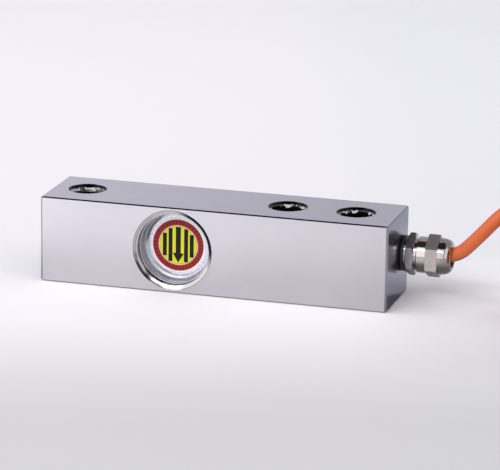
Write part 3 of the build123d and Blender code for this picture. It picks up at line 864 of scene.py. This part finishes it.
def pocket_tool(bar, side):
    """The tool for a gauge pocket: its mouth's chamfer, wall and rounded root."""
    root = 0.9 * MM
    floor = SIDE_FACE - bar.web / 2
    radius = bar.pocket_radius
    mouth = radius + bar.pocket_chamfer
    points = [
        (-OVER, 0),
        (-OVER, mouth + OVER * bar.pocket_chamfer / bar.chamfer_depth),
        (bar.chamfer_depth, radius),
        *reversed(arc((floor - root, radius - root), root, 0, 90)),
        (floor, 0),
    ]
    return turned("pocket_tool", points, (WEB_X, side * SIDE_FACE, MID_Z), (0, -side, 0), steps=160)


def block_edge(centre):
    """Whether a face's centre lies on one of the chamfers round the block."""
    widest_chamfer = 0.6 * MM
    gaps = sorted(half - abs(part) for half, part in zip(BAR_SIZE / 2, centre - BAR_CENTRE))
    return gaps[1] < widest_chamfer


def bar_face(centre, normal):
    """The number of the finish that a face of the bar has."""
    square_on, level = 0.9, 0.999
    at_end, at_side, end_edge_width = 0.05 * MM, 0.02 * MM, 0.5 * MM
    pocket_reach, inside_web, rim_width = 15.5 * MM, 1.5 * MM, 0.9 * MM
    near_end = BAR_SIZE.x / 2 - abs(centre.x)
    if abs(normal.x) > square_on and near_end < at_end:
        return MILLED_END
    if max(abs(part) for part in normal) < square_on and block_edge(centre):
        return END_EDGE if near_end < end_edge_width else EDGE
    off_pocket = Vector((centre.x - WEB_X, centre.z - MID_Z)).length
    on_side_face = abs(abs(centre.y) - SIDE_FACE) < at_side and abs(normal.y) > square_on
    in_pocket = off_pocket < pocket_reach and abs(centre.y) > inside_web
    if in_pocket and not on_side_face and abs(normal.z) < level:
        return POCKET
    for x, radius in HOLES:
        off_axis = Vector((centre.x - x, centre.y)).length
        if off_axis < radius + rim_width and abs(normal.z) < square_on:
            return DRILLED
    return GROUND


def bar_finishes(bar):
    """The bar's finishes, in the order of their numbers."""
    half = BAR_SIZE / 2 / MM
    sloped_up = (0, 0.247, 1)
    # Painted shade: the ground faces painted darker towards the cable's end and towards the bottom
    face_painted_shade = [
        Tone(way=ALONG, start=-half.x, end=half.x, first=1.0, last=0.86),
        Tone(way=UP, start=-half.z, end=half.z, first=0.66, last=1.02),
    ]
    # Painted shade: the milled ends painted darker along their bottom edge and towards their top
    end_painted_shade = [
        Tone(way=sloped_up, start=-14.2, end=-12.2, first=0.5, last=1.0),
        Tone(way=UP, start=2.0, end=14.0, first=1.0, last=0.84),
    ]
    # Painted shade: the chamfers painted darker towards the bottom
    edge_painted_shade = [Tone(way=UP, start=-half.z, end=half.z, first=0.7, last=1.0)]
    end_edge_painted_shade = [Tone(way=UP, start=-half.z, end=0.0, first=0.5, last=0.92)]
    upwards = (0, radians(90), 0)
    return [
        ground_steel("Ground plated steel", tuple(bar.steel), 0.245, face_painted_shade),
        ground_steel("Milled plated end", tuple(bar.end_steel), 0.19, end_painted_shade, upwards, 0.006 * MM),
        bore_steel(
            "Drilled plated steel",
            (0.4, 0.39, 0.4),
            0.13,
            ring_depth=0.012 * MM,
            highlight_band_to=1.8,
            highlight_band_grey=0.95,
        ),
        pocket_steel("Turned pocket steel", (0.55, 0.53, 0.55), 0.16),
        ground_steel("Chamfered edge", (0.45, 0.44, 0.49), 0.1, edge_painted_shade),
        ground_steel("Chamfered end", (0.37, 0.365, 0.43), 0.1, end_edge_painted_shade),
    ]


def make_bar(bar):
    piece = block("load_beam", BAR_LOW, BAR_HIGH)
    bevel_edges(piece, upright, bar.end_bevel)

    def rim(a, b):
        return abs(a.z - b.z) < MERGE and (a.z < MERGE or a.z > BAR_HIGH.z - MERGE)

    bevel_edges(piece, rim, bar.long_bevel)
    for x, radius in HOLES:
        combine(piece, hole_tool(x, radius, bar.rim_chamfer), "DIFFERENCE")
    for side in (-1, 1):
        combine(piece, pocket_tool(bar, side), "DIFFERENCE")
    port = [(-bar.port_depth, 0), (-bar.port_depth, bar.port_radius), (OVER, bar.port_radius), (OVER, 0)]
    combine(piece, turned("port_tool", port, GLAND_PLACE, ALONG, steps=64), "DIFFERENCE")
    paint_faces(piece, bar_face)
    return finish_piece(piece, bar_finishes(bar), ["beam_body"])


def make_thread(bar):
    """The load hole's thread: one ridge wound round the bore."""
    root = LOAD_RADIUS + 0.03 * MM
    crest = LOAD_RADIUS - bar.thread_height
    pitch = bar.thread_pitch
    start = BAR_LOW.z + bar.rim_chamfer
    turns = int((BAR_SIZE.z - 2 * bar.rim_chamfer) / pitch)
    # The ridge's corners: radius, and height as a share of the pitch
    corners = [(root, 0.0), (crest, 0.42), (crest, 0.54), (root, 0.96)]
    draw_outline([(radius, 0, start + pitch * share) for radius, share in corners], True)
    bpy.ops.object.mode_set(mode="OBJECT")
    piece = bpy.context.object
    bpy.ops.object.modifier_add(type="SCREW")
    modifier = piece.modifiers[-1]
    modifier.screw_offset = pitch
    modifier.iterations = turns
    modifier.steps = modifier.render_steps = 72
    bpy.ops.object.modifier_apply(modifier=modifier.name)
    bpy.ops.object.mode_set(mode="EDIT")
    bpy.ops.mesh.select_all(action="SELECT")
    bpy.ops.mesh.fill_holes(sides=0)
    close_shell()
    piece.location.x = LOAD_X
    piece = named("load_hole_thread")
    steel = bore_steel(
        "Tapped steel", (0.3, 0.29, 0.3), 0.2, ring_depth=0.008 * MM, highlight_band_to=1.7, highlight_band_grey=0.5
    )
    return finish_piece(piece, [steel], [])


# Seals


def cup_outline(seal):
    """The cup's section, closed: its floor and wall inside, its weld bead, then its outside."""
    outer = CUP_RADIUS - 0.05 * MM
    inner = outer - seal.wall
    corner = seal.corner
    outer_corner = corner + seal.wall
    rim = seal.rim_depth
    bead_middle = (inner + CUP_RADIUS) / 2
    bead_half = (CUP_RADIUS - inner) / 2
    bead = []
    bead_steps = 8
    for i in range(bead_steps + 1):
        a = pi * i / bead_steps
        bead.append((rim - seal.bead_height * sin(a), bead_middle - bead_half * cos(a)))
    return [
        (seal.floor_depth, 0),
        *arc((seal.floor_depth - corner, inner - corner), corner, 0, 90),
        *bead,
        (rim + seal.bead_height, CUP_RADIUS),
        (rim + seal.bead_height, outer),
        *reversed(arc((CUP_BACK - outer_corner, outer - outer_corner), outer_corner, 0, 90)),
        (CUP_BACK, 0),
    ]


def make_cup(seal, side, name, node_name):
    """A drawn cup, with the ripples of its weld bead."""
    place = (WEB_X, side * SIDE_FACE, MID_Z)
    shell = turned(name, cup_outline(seal), place, (0, -side, 0), steps=seal.bead_ripples * 4)
    rim = SIDE_FACE - seal.rim_depth
    ripple_share = 0.45
    for vertex in shell.data.vertices:
        proud = abs(vertex.co.y) - rim
        if proud > 0.01 * MM:
            turn = atan2(vertex.co.z - MID_Z, vertex.co.x - WEB_X)
            ripple = 0.5 + 0.5 * cos(seal.bead_ripples * turn)
            vertex.co.y -= side * proud * ripple_share * ripple
    steel = cup_steel("Drawn cup steel", tuple(seal.cup_steel), 0.4)
    return finish_piece(shell, [steel], [node_name], angle=40)


def make_label(seal):
    edge = 0.05 * MM
    points = [
        (LABEL_BACK, 0),
        (LABEL_BACK, LABEL_RADIUS),
        (LABEL_FACE + edge, LABEL_RADIUS),
        (LABEL_FACE, LABEL_RADIUS - edge),
        (LABEL_FACE, 0),
    ]
    disc = turned("label", points, (WEB_X, -SIDE_FACE, MID_Z), (0, 1, 0), steps=128)
    return finish_piece(disc, [label_print("Label film", seal)], ["label_disc"])


def make_load_sign(seal):
    """A plain sign for the load's direction: an arrow between upright bars."""
    thick = 0.03 * MM
    back = -SIDE_FACE + LABEL_FACE
    front = back - thick

    def bar(x, z_low, z_high, width):
        low = (WEB_X + x - width / 2, front, MID_Z + z_low)
        return block("bar", low, (WEB_X + x + width / 2, back, MID_Z + z_high))

    bar_width = 1.5 * MM
    near_x, near_half = 2.95 * MM, 6.2 * MM
    far_x, far_half = 5.1 * MM, 4.25 * MM
    parts = []
    for side in (-1, 1):
        parts.append(bar(side * near_x, -near_half, near_half, bar_width))
        parts.append(bar(side * far_x, -far_half, far_half, bar_width))
    head_radius = 2.4 * MM
    head_middle = -4.2 * MM
    shaft_top, shaft_width = 6.8 * MM, 1.9 * MM
    parts.append(bar(0, head_middle + head_radius / 2, shaft_top, shaft_width))
    bpy.ops.object.select_all(action="DESELECT")
    bpy.ops.mesh.primitive_cylinder_add(
        vertices=3,
        radius=head_radius,
        depth=thick,
        location=(WEB_X, (back + front) / 2, MID_Z + head_middle),
        rotation=(radians(90), radians(180), 0),
    )
    parts.append(named("head"))
    sign = joined("load_sign", parts)
    ink = moulded(
        "Label ink", tuple(seal.ink), 0.4, grains=3000.0, depth=0.003 * MM, Specular_IOR_Level=0.2
    )
    return finish_piece(sign, [ink], [])


# Gland


def add_hexagon(piece, gland, start, size, rise, core):
    """Adds a hexagon round a core, with two corners up and down, turned off at both ends."""
    inner = core - 0.2 * MM
    corner = gland.across_flats / 2 / cos(radians(30))
    end = start + size
    prism_points = [(start, 0), (start, corner), (end, corner), (end, 0)]
    prism = turned("hexagon", prism_points, GLAND_PLACE, ALONG, steps=6)
    over = corner + 0.02 * MM
    end_radius = over - rise / tan(radians(30))
    blank_points = [
        (start, 0),
        (start, end_radius),
        (start + rise, over),
        (end - rise, over),
        (end, end_radius),
        (end, 0),
    ]
    combine(prism, turned("hexagon_blank", blank_points, GLAND_PLACE, ALONG, steps=120), "INTERSECT")
    bore = [(0, 0), (0, inner), (end + 2 * OVER, inner), (end + 2 * OVER, 0)]
    combine(prism, turned("hexagon_bore", bore, GLAND_PLACE, ALONG, steps=96), "DIFFERENCE")
    combine(piece, prism, "UNION")


def gland_finish(piece, gland, nodes, flats):
    """Polished turned faces, and duller flats where the drawn hexagon bar shows."""
    limit = gland.across_flats / 2 - 0.2 * MM
    nose = gland.nut_hex_start + gland.nut_hex + 0.1 * MM

    def on_flat(centre, normal):
        out = Vector((normal.y, normal.z))
        reach = Vector((centre.y - GLAND_Y, centre.z - MID_Z)).dot(out)
        return int(abs(normal.x) < 0.9 and reach > limit and centre.x - BAR_END < nose)

    paint_faces(piece, on_flat)
    polish = polished_nickel("Polished nickel", tuple(gland.nickel), 0.08)
    return finish_piece(piece, [polish, flats], nodes, angle=25)


def make_gland_body(gland):
    """The body: threaded end, undercut, collar, hexagon and spigot, from inside the port outwards."""
    bore = 3.8 * MM
    thread_start, thread_radius, thread_chamfer = -5.5 * MM, 5.95 * MM, 0.5 * MM
    undercut_start, undercut_radius = -0.4 * MM, 5.0 * MM
    start = RING_HIGH.x - BAR_END
    collar, edge = gland.collar_radius, 0.2 * MM
    spigot, spigot_end = gland.spigot_radius, 12.0 * MM
    insert_bore, insert_start, taper_start = 4.7 * MM, 7.35 * MM, 6.55 * MM
    points = [
        (thread_start, bore),
        (thread_start, thread_radius - thread_chamfer),
        (thread_start + thread_chamfer, thread_radius),
        (undercut_start, thread_radius),
        (undercut_start, undercut_radius),
        (start, undercut_radius),
        (start, collar - edge),
        (start + edge, collar),
        (gland.collar_end - edge, collar),
        (gland.collar_end, collar - edge),
        (gland.collar_end, spigot),
        (spigot_end, spigot),
        (spigot_end, insert_bore),
        (insert_start, insert_bore),
        (taper_start, bore),
    ]
    body = turned("gland_fitting", points, GLAND_PLACE, ALONG, steps=128)
    add_hexagon(body, gland, gland.collar_end, gland.body_hex, gland.body_chamfer, spigot)
    flats = nickel_flats("Dark nickel flats", tuple(gland.body_flats), 0.22)
    return gland_finish(body, gland, ["gland_body"], flats)


def make_nut(gland):
    """The nut with its skirt, hexagon and dome, open at the mouth where the cable leaves."""
    start, edge = gland.nut_start, 0.3 * MM
    spigot_play = 0.05 * MM
    bore = gland.spigot_radius + spigot_play
    skirt = gland.skirt_radius
    end = NUT_HIGH.x - BAR_END
    nose = gland.dome_round
    mouth, flare = gland.mouth_radius, gland.mouth_flare
    throat_start, press_end, press_radius = 17.3 * MM, 16.65 * MM, 4.05 * MM
    press_start, press_start_radius = 12.65 * MM, 4.65 * MM
    dome = []
    dome_steps = 12
    for i in range(dome_steps + 1):
        a = pi / 2 * i / dome_steps
        dome.append((end - nose + nose * sin(a), skirt - (skirt - mouth - flare) * (1 - cos(a))))
    points = [
        (start, bore),
        (start, skirt - edge),
        (start + edge, skirt),
        *dome,
        (end - flare * 0.35, mouth + flare * 0.3),
        (end - flare, mouth),
        (throat_start, mouth),
        (press_end, press_radius),
        (press_start, press_start_radius),
        (press_start, bore),
    ]
    nut = turned("gland_nut", points, GLAND_PLACE, ALONG, steps=144)
    add_hexagon(nut, gland, gland.nut_hex_start, gland.nut_hex, gland.nut_chamfer, skirt)
    flats = nickel_flats("Nickel flats", tuple(gland.nut_flats), 0.33)
    return gland_finish(nut, gland, ["dome_nut"], flats)


def make_o_ring():
    """The squeezed sealing ring, bulging out under the collar."""
    width = RING_HIGH.x - BAR_END
    outer = (RING_HIGH.y - RING_LOW.y) / 2
    section = 1.5 * MM
    inner = outer - section
    bulge = width * 0.42
    points = [
        *arc((bulge, inner + bulge), bulge, 180, 270),
        *arc((width - bulge, inner + bulge), bulge, 270, 360),
        *arc((width - bulge, outer - bulge), bulge, 0, 90),
        *arc((bulge, outer - bulge), bulge, 90, 180),
    ]
    ring = turned("sealing_ring", points, GLAND_PLACE, ALONG, steps=96)
    return finish_piece(ring, [seal_rubber()], ["gland_o_ring"], angle=40)


def make_seal():
    """The rubber sleeve that grips the cable inside the nut's mouth."""
    bore, body, nose, lip = 2.6 * MM, 3.85 * MM, 3.35 * MM, 0.3 * MM
    start, body_end, nose_start, bore_end = 8.2 * MM, 11.7 * MM, 12.1 * MM, 16.0 * MM
    end = SEAL_HIGH.x - BAR_END
    points = [
        (start, bore),
        (start, body),
        (body_end, body),
        (nose_start, nose),
        (end - lip, nose),
        (end, nose - lip),
        (end, bore + 0.35 * MM),
        (bore_end, bore),
    ]
    seal = turned("cable_seal", points, GLAND_PLACE, ALONG, steps=64)
    return finish_piece(seal, [seal_rubber()], ["seal_grommet"])


# Cable


def hank_points(cable):
    """The winding: two tracks side by side in each layer, from the top layer down."""
    layers, corners = 5, 5
    before_bend, after_bend = 24 * MM, 30 * MM
    change_from_right, change_from_left = 31 * MM, 8 * MM
    before_sleeve, inside_sleeve = 6 * MM, 2 * MM
    thick = cable.diameter
    inner, outer = cable.inner_radius, cable.inner_radius + thick
    middle = (HANK_LOW.x + thick / 2 + outer) + cable.straight / 2
    left, right = middle - cable.straight / 2, middle + cable.straight / 2
    change_start, change_end = right - change_from_right, left + change_from_left
    bottom = cable.tie_thickness + thick / 2
    bulge = 0.35 * thick
    slots = []
    for layer in range(layers):
        height = bottom + (layers - 1 - layer) * thick
        tracks = (inner, outer) if layer % 2 == 0 else (outer, inner)
        slots += [(radius, height) for radius in tracks]
    points = []

    def bend(centre, first, slot):
        step = pi / corners
        reach = slot[0] / cos(step / 2)
        for i in range(corners):
            turn = first - step * (i + 0.5)
            points.append((centre + reach * cos(turn), reach * sin(turn), slot[1]))

    points.append((middle + before_bend, *slots[0]))
    for slot, following in zip(slots, slots[1:]):
        radius, height = slot
        next_radius, next_height = following
        push = 0.0
        if next_radius == radius:
            push = bulge if radius == outer else -bulge
        bend(right, pi / 2, slot)
        points.append((middle + before_bend, -radius, height))
        for share in (0.0, 0.25, 0.5, 0.75, 1.0):
            x = change_start + (change_end - change_start) * share
            reach = radius + (next_radius - radius) * share
            if 0 < share < 1:
                reach += push
            points.append((x, -reach, height + (next_height - height) * share))
        bend(left, -pi / 2, following)
        points.append((middle - after_bend, *following))
        points.append((middle + before_bend, *following))
    points.append((SLEEVE_LOW.x - before_sleeve, outer, bottom))
    points.append((SLEEVE_LOW.x + inside_sleeve, outer, bottom))
    return points


def make_cable(cable):
    points = [*CABLE_ROUTE, *hank_points(cable)]
    line = bpy.data.curves.new("signal_cable", "CURVE")
    line.dimensions = "3D"
    line.resolution_u = 8
    line.bevel_depth = cable.diameter / 2
    line.bevel_resolution = 7
    line.use_fill_caps = True
    spline = line.splines.new("NURBS")
    spline.points.add(len(points) - 1)
    for place, point in zip(spline.points, points):
        place.co = (*point, 1.0)
    spline.order_u = 3
    spline.use_endpoint_u = True
    piece = bpy.data.objects.new("signal_cable", line)
    bpy.context.scene.collection.objects.link(piece)
    jacket = jacket_plastic("Orange jacket", tuple(cable.jacket))
    line.materials.append(jacket)
    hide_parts("cable_run", "cable_hank")
    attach(piece, "root")
    return piece


def make_tie(cable, name, node_name):
    """A nylon strap round one side of the hank, with its head and its cut tail."""
    low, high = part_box(node_name)
    thick = cable.tie_thickness
    head_height = 3.6 * MM
    outer_round, inner_round, head_round = 2.8 * MM, 2.0 * MM, 0.7 * MM
    head_half, slit_half, tail_half = 2.8 * MM, 0.9 * MM, 0.6 * MM
    slit_margin, tail_margin, tail_out = 0.9 * MM, 1.0 * MM, 1.6 * MM
    head_sunk, slit_floor, tail_floor = 0.4 * MM, 0.8 * MM, 0.2 * MM
    top = high.z - head_height
    middle = (low.y + high.y) / 2

    def head_block(part, margin, half_width, z_low, z_high):
        low_corner = (low.x + margin, middle - half_width, z_low)
        return block(part, low_corner, (high.x - margin, middle + half_width, z_high))

    strap = block(name, low, (high.x, high.y, top))
    bevel_edges(strap, lengthwise, outer_round, 6)
    hollow_low = (low.x - OVER, low.y + thick, low.z + thick)
    hollow = block("hollow", hollow_low, (high.x + OVER, high.y - thick, top - thick))
    bevel_edges(hollow, lengthwise, inner_round, 6)
    combine(strap, hollow, "DIFFERENCE")
    housing = head_block("housing", 0.0, head_half, top - head_sunk, high.z)
    bevel_edges(housing, upright, head_round, 3)
    slit = head_block("slit", slit_margin, slit_half, top + slit_floor, high.z + OVER)
    combine(housing, slit, "DIFFERENCE")
    combine(strap, housing, "UNION")
    tail = head_block("tail", tail_margin, tail_half, top + tail_floor, high.z + tail_out)
    combine(strap, tail, "UNION")
    soften(strap, 0.15 * MM, segments=2, angle=40)
    plastic = moulded("Black tie plastic", (0.02, 0.02, 0.022), 0.42, grains=1600.0, depth=0.01 * MM)
    return finish_piece(strap, [plastic], [node_name])


def make_sleeve():
    """The shrunk sleeve: a tube that hugs the jacket and closes round the leads."""
    extent = SLEEVE_HIGH - SLEEVE_LOW
    middle = (SLEEVE_LOW + SLEEVE_HIGH) / 2
    end, radius = extent.x, extent.y / 2
    slack = 0.05 * MM
    wave = []
    steps, steps_per_wave = 12, 4
    for i in range(1, steps):
        wave.append((end * i / steps, radius - slack * (1 + cos(2 * pi * i / steps_per_wave))))
    points = [
        (0, 0),
        (0, radius - 0.3 * MM),
        (0.3 * MM, radius - slack),
        *wave,
        (end - 0.8 * MM, radius - 0.3 * MM),
        (end, radius - 1.2 * MM),
        (end, 0),
    ]
    sleeve = turned("shrunk_sleeve", points, (SLEEVE_LOW.x, middle.y, middle.z), ALONG, steps=64)
    film = moulded("Shrunk sleeve", (0.02, 0.02, 0.022), 0.36, grains=900.0, depth=0.02 * MM)
    return finish_piece(sleeve, [film], ["end_sleeve"])


LEAD_SHADES = ("red", "black", "green", "white", "shield")

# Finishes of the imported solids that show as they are: nodes, colour, roughness, metal
CARRIED = {
    "Gauge film": (("front_strain_gauge", "rear_strain_gauge"), (0.5, 0.25, 0.05), 0.25, 0.0),
    "Board laminate": (("front_terminal_board", "rear_terminal_board"), (0.02, 0.12, 0.05), 0.35, 0.0),
    "Glazed chip": (("zero_resistor", "span_resistor"), (0.02, 0.02, 0.025), 0.3, 0.0),
    "Tinned copper": (("front_gauge_leads", "rear_gauge_leads", "lead_shield"), (0.7, 0.5, 0.36), 0.28, 1.0),
    "Jumper insulation": (("jumper_wire_1", "jumper_wire_2", "jumper_wire_3"), (0.55, 0.53, 0.46), 0.45, 0.0),
    "Insert plastic": (("clamp_insert",), (0.02, 0.02, 0.022), 0.4, 0.0),
    "Red insulation": (("core_red", "lead_red"), (0.55, 0.02, 0.02), 0.38, 0.0),
    "Black insulation": (("core_black", "lead_black"), (0.02, 0.02, 0.022), 0.38, 0.0),
    "Green insulation": (("core_green", "lead_green"), (0.03, 0.3, 0.08), 0.38, 0.0),
    "White insulation": (("core_white", "lead_white"), (0.8, 0.8, 0.78), 0.4, 0.0),
    "Tinned ends": (tuple(f"tip_{shade}" for shade in LEAD_SHADES), (0.72, 0.72, 0.72), 0.25, 1.0),
}


def dress_carried_nodes():
    """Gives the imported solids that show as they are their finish."""
    grain = {"grains": 2200.0, "depth": 0.01 * MM, "change": 0.12}
    for name, (nodes, base, roughness, metal) in CARRIED.items():
        finish = moulded(name, base, roughness, Metallic=metal, **grain)
        for node_name in nodes:
            slots = frame["nodes"][node_name].data.materials
            slots.clear()
            slots.append(finish)


# Studio

# Each soft box: name, place, target, size, power, and whether metal mirrors it
LAMPS = [
    ("strip_softbox", (-0.15, -1.05, 1.0), (0.03, 0, 0), (1.3, 0.16), 5.8, True),
    ("key", (-0.9, -0.3, 1.35), (0.05, 0, 0), (0.9, 0.9), 6.35, False),
    ("fill", (1.0, 0.1, 1.2), (0.05, 0, 0), (1.3, 1.3), 1.6, False),
]


def floor_material(studio):
    """A pale matt sheet with painted light: darker towards the viewer, and by the cable's end a soft painted
    band of light with painted shade in front of it, tinted a little cool.
    """
    material, tree, shader, place = new_material("Pale paper floor", Roughness=0.75, Specular_IOR_Level=0.15)
    lay = node(tree, "ShaderNodeMapping", {"Vector": place, "Rotation": (0, 0, radians(-18))}).outputs[0]
    x, y, _ = parts_of(tree, lay)
    near, middle, far = [opaque([min(1.0, c * share) for c in studio.floor]) for share in (0.73, 1.04, 1.1)]
    # Painted light: the sheet darker towards the viewer and brighter far off
    shade = blended(tree, spread(tree, y, -0.165, -0.02), near, middle)
    shade = blended(tree, spread(tree, y, 0.05, 0.4), shade, far)
    # Painted light and shade: by the cable's end, a bright band with a darker strip in front of it, tinted a
    # little cool
    before = spread(tree, y, -0.13, -0.08, 1.0, 0.9)
    rise = spread(tree, y, -0.045, -0.015, 0.9, 1.1)
    fall = spread(tree, y, 0.0, 0.06, 1.1, 0.96)
    band = value_of(tree, "MINIMUM", value_of(tree, "MAXIMUM", rise, before), fall)
    cool = shaded(tree, (0.99, 1.003, 1.012), band)
    side = product(tree, spread(tree, x, 0.03, 0.1), spread(tree, x, 0.16, 0.3, 1.0, 0.0))
    tint = blended(tree, side, (1, 1, 1, 1), cool)
    link(tree, shader, Base_Color=shaded(tree, shade, tint))
    return material


def make_floor(studio):
    bpy.ops.object.select_all(action="DESELECT")
    below_bar = 0.05 * MM
    bpy.ops.mesh.primitive_plane_add(size=12, location=(0, 0, -below_bar))
    floor = named("floor")
    floor.data.materials.append(floor_material(studio))


def make_world():
    """A bright studio in front with one dark gap, a dark ceiling, and a grey wall behind."""
    world = bpy.data.worlds.new("Studio")
    bpy.context.scene.world = world
    world.use_nodes = True
    tree = world.node_tree
    tree.nodes.clear()
    ceiling = (0.03, 0.03, 0.035, 1)
    bright, dark_gap = (1.4, 1.38, 1.43, 1), (0.1, 0.1, 0.11, 1)
    low_wall, high_wall = (0.55, 0.535, 0.61, 1), (0.42, 0.41, 0.44, 1)
    dark_side = (0.07, 0.07, 0.08, 1)
    # The direction looked in, each part from -1 to 1
    x, y, z = parts_of(tree, node(tree, "ShaderNodeTexCoord").outputs["Generated"])
    front = blended(tree, value_of(tree, "COMPARE", x, 0.44, 0.05), bright, dark_gap)
    front = blended(tree, spread(tree, z, 0.81, 0.87), front, ceiling)
    back = blended(tree, spread(tree, z, 0.35, 0.65), low_wall, high_wall)
    back = blended(tree, spread(tree, z, 0.91, 0.95), back, ceiling)
    light = blended(tree, spread(tree, y, -0.25, 0.15, 1.0, 0.0), back, front)
    light = blended(tree, spread(tree, x, 0.8, 0.92), light, dark_side)
    shader = node(tree, "ShaderNodeBackground", {"Color": light, "Strength": 1.0})
    node(tree, "ShaderNodeOutputWorld", {"Surface": shader.outputs[0]})


def make_lamp(name, place, target, size, power, mirrored):
    """A soft box that points at a target."""
    bpy.ops.object.select_all(action="DESELECT")
    bpy.ops.object.light_add(type="AREA", location=place)
    lamp = bpy.context.object
    lamp.name = name
    lamp.rotation_euler = (Vector(target) - Vector(place)).to_track_quat("-Z", "Y").to_euler()
    lamp.data.shape = "RECTANGLE"
    lamp.data.size, lamp.data.size_y = size
    lamp.data.energy = power
    lamp.visible_glossy = mirrored


def make_camera(studio):
    bpy.ops.object.select_all(action="DESELECT")
    bpy.ops.object.camera_add(location=tuple(studio.camera_place))
    camera = bpy.context.object
    turn = Matrix.Rotation(radians(studio.azimuth), 4, "Z")
    tilt = Matrix.Rotation(radians(90 - studio.elevation), 4, "X")
    roll = Matrix.Rotation(radians(studio.roll), 4, "Z")
    camera.rotation_euler = (turn @ tilt @ roll).to_euler()
    camera.data.lens = studio.lens
    camera.data.sensor_width = 36
    camera.data.clip_end = 50
    bpy.context.scene.camera = camera
    bpy.context.scene.view_settings.view_transform = "Standard"


# Operators


class BuildBar(Operator):
    """Build the bar with its holes, pockets and gland port"""

    bl_idname = "load_cell.bar"
    bl_label = "Bar"

    def execute(self, context):
        make_bar(context.scene.cell_bar)
        make_thread(context.scene.cell_bar)
        return {"FINISHED"}


class BuildSeals(Operator):
    """Build the welded cups and the round label"""

    bl_idname = "load_cell.seals"
    bl_label = "Cups and label"

    def execute(self, context):
        seal = context.scene.cell_seals
        make_cup(seal, -1, "front_cup", "front_sealing_cup")
        make_cup(seal, 1, "rear_cup", "rear_sealing_cup")
        make_label(seal)
        make_load_sign(seal)
        return {"FINISHED"}


class BuildGland(Operator):
    """Build the cable gland, its sealing ring, seal and domed nut"""

    bl_idname = "load_cell.gland"
    bl_label = "Cable gland"

    def execute(self, context):
        gland = context.scene.cell_gland
        make_gland_body(gland)
        make_nut(gland)
        make_o_ring()
        make_seal()
        return {"FINISHED"}


class BuildCable(Operator):
    """Lay the cable, its hank, ties and sleeve, and give the imported solids, leads among them, their
    finishes
    """

    bl_idname = "load_cell.cable"
    bl_label = "Cable"

    def execute(self, context):
        cable = context.scene.cell_cable
        dress_carried_nodes()
        line = make_cable(cable)
        ends = [
            make_tie(cable, "front_tie", "front_hank_tie"),
            make_tie(cable, "rear_tie", "rear_hank_tie"),
            make_sleeve(),
        ]
        for shade in LEAD_SHADES:
            ends += [frame["nodes"][f"lead_{shade}"], frame["nodes"][f"tip_{shade}"]]
        return {"FINISHED"}


class SetStage(Operator):
    """Set the floor, the lamps, the world and the camera"""

    bl_idname = "load_cell.stage"
    bl_label = "Studio"

    def execute(self, context):
        studio = context.scene.cell_studio
        make_floor(studio)
        make_world()
        for lamp in LAMPS:
            make_lamp(*lamp)
        make_camera(studio)
        return {"FINISHED"}


class CellPanel(Panel):
    """The steps of the load cell, in order"""

    bl_idname = "VIEW3D_PT_load_cell"
    bl_label = "Load Cell"
    bl_space_type = "VIEW_3D"
    bl_region_type = "UI"
    bl_category = "Load Cell"

    def draw(self, context):
        column = self.layout.column(align=True)
        for step in STEPS:
            column.operator(step.bl_idname)


SETTINGS = {
    "cell_bar": BarSettings,
    "cell_seals": SealSettings,
    "cell_gland": GlandSettings,
    "cell_cable": CableSettings,
    "cell_studio": StudioSettings,
}
STEPS = (SetStage, BuildCable, BuildBar, BuildSeals, BuildGland)


def register():
    for kind in (*SETTINGS.values(), *STEPS, CellPanel):
        bpy.utils.register_class(kind)
    for name, kind in SETTINGS.items():
        setattr(bpy.types.Scene, name, PointerProperty(type=kind))


def unregister():
    for name in SETTINGS:
        delattr(bpy.types.Scene, name)
    for kind in reversed((*SETTINGS.values(), *STEPS, CellPanel)):
        bpy.utils.unregister_class(kind)


def main():
    register()
    bpy.ops.load_cell.stage()
    bpy.ops.load_cell.cable()
    bpy.ops.load_cell.bar()
    bpy.ops.load_cell.seals()
    bpy.ops.load_cell.gland()


if __name__ == "__main__":
    main()
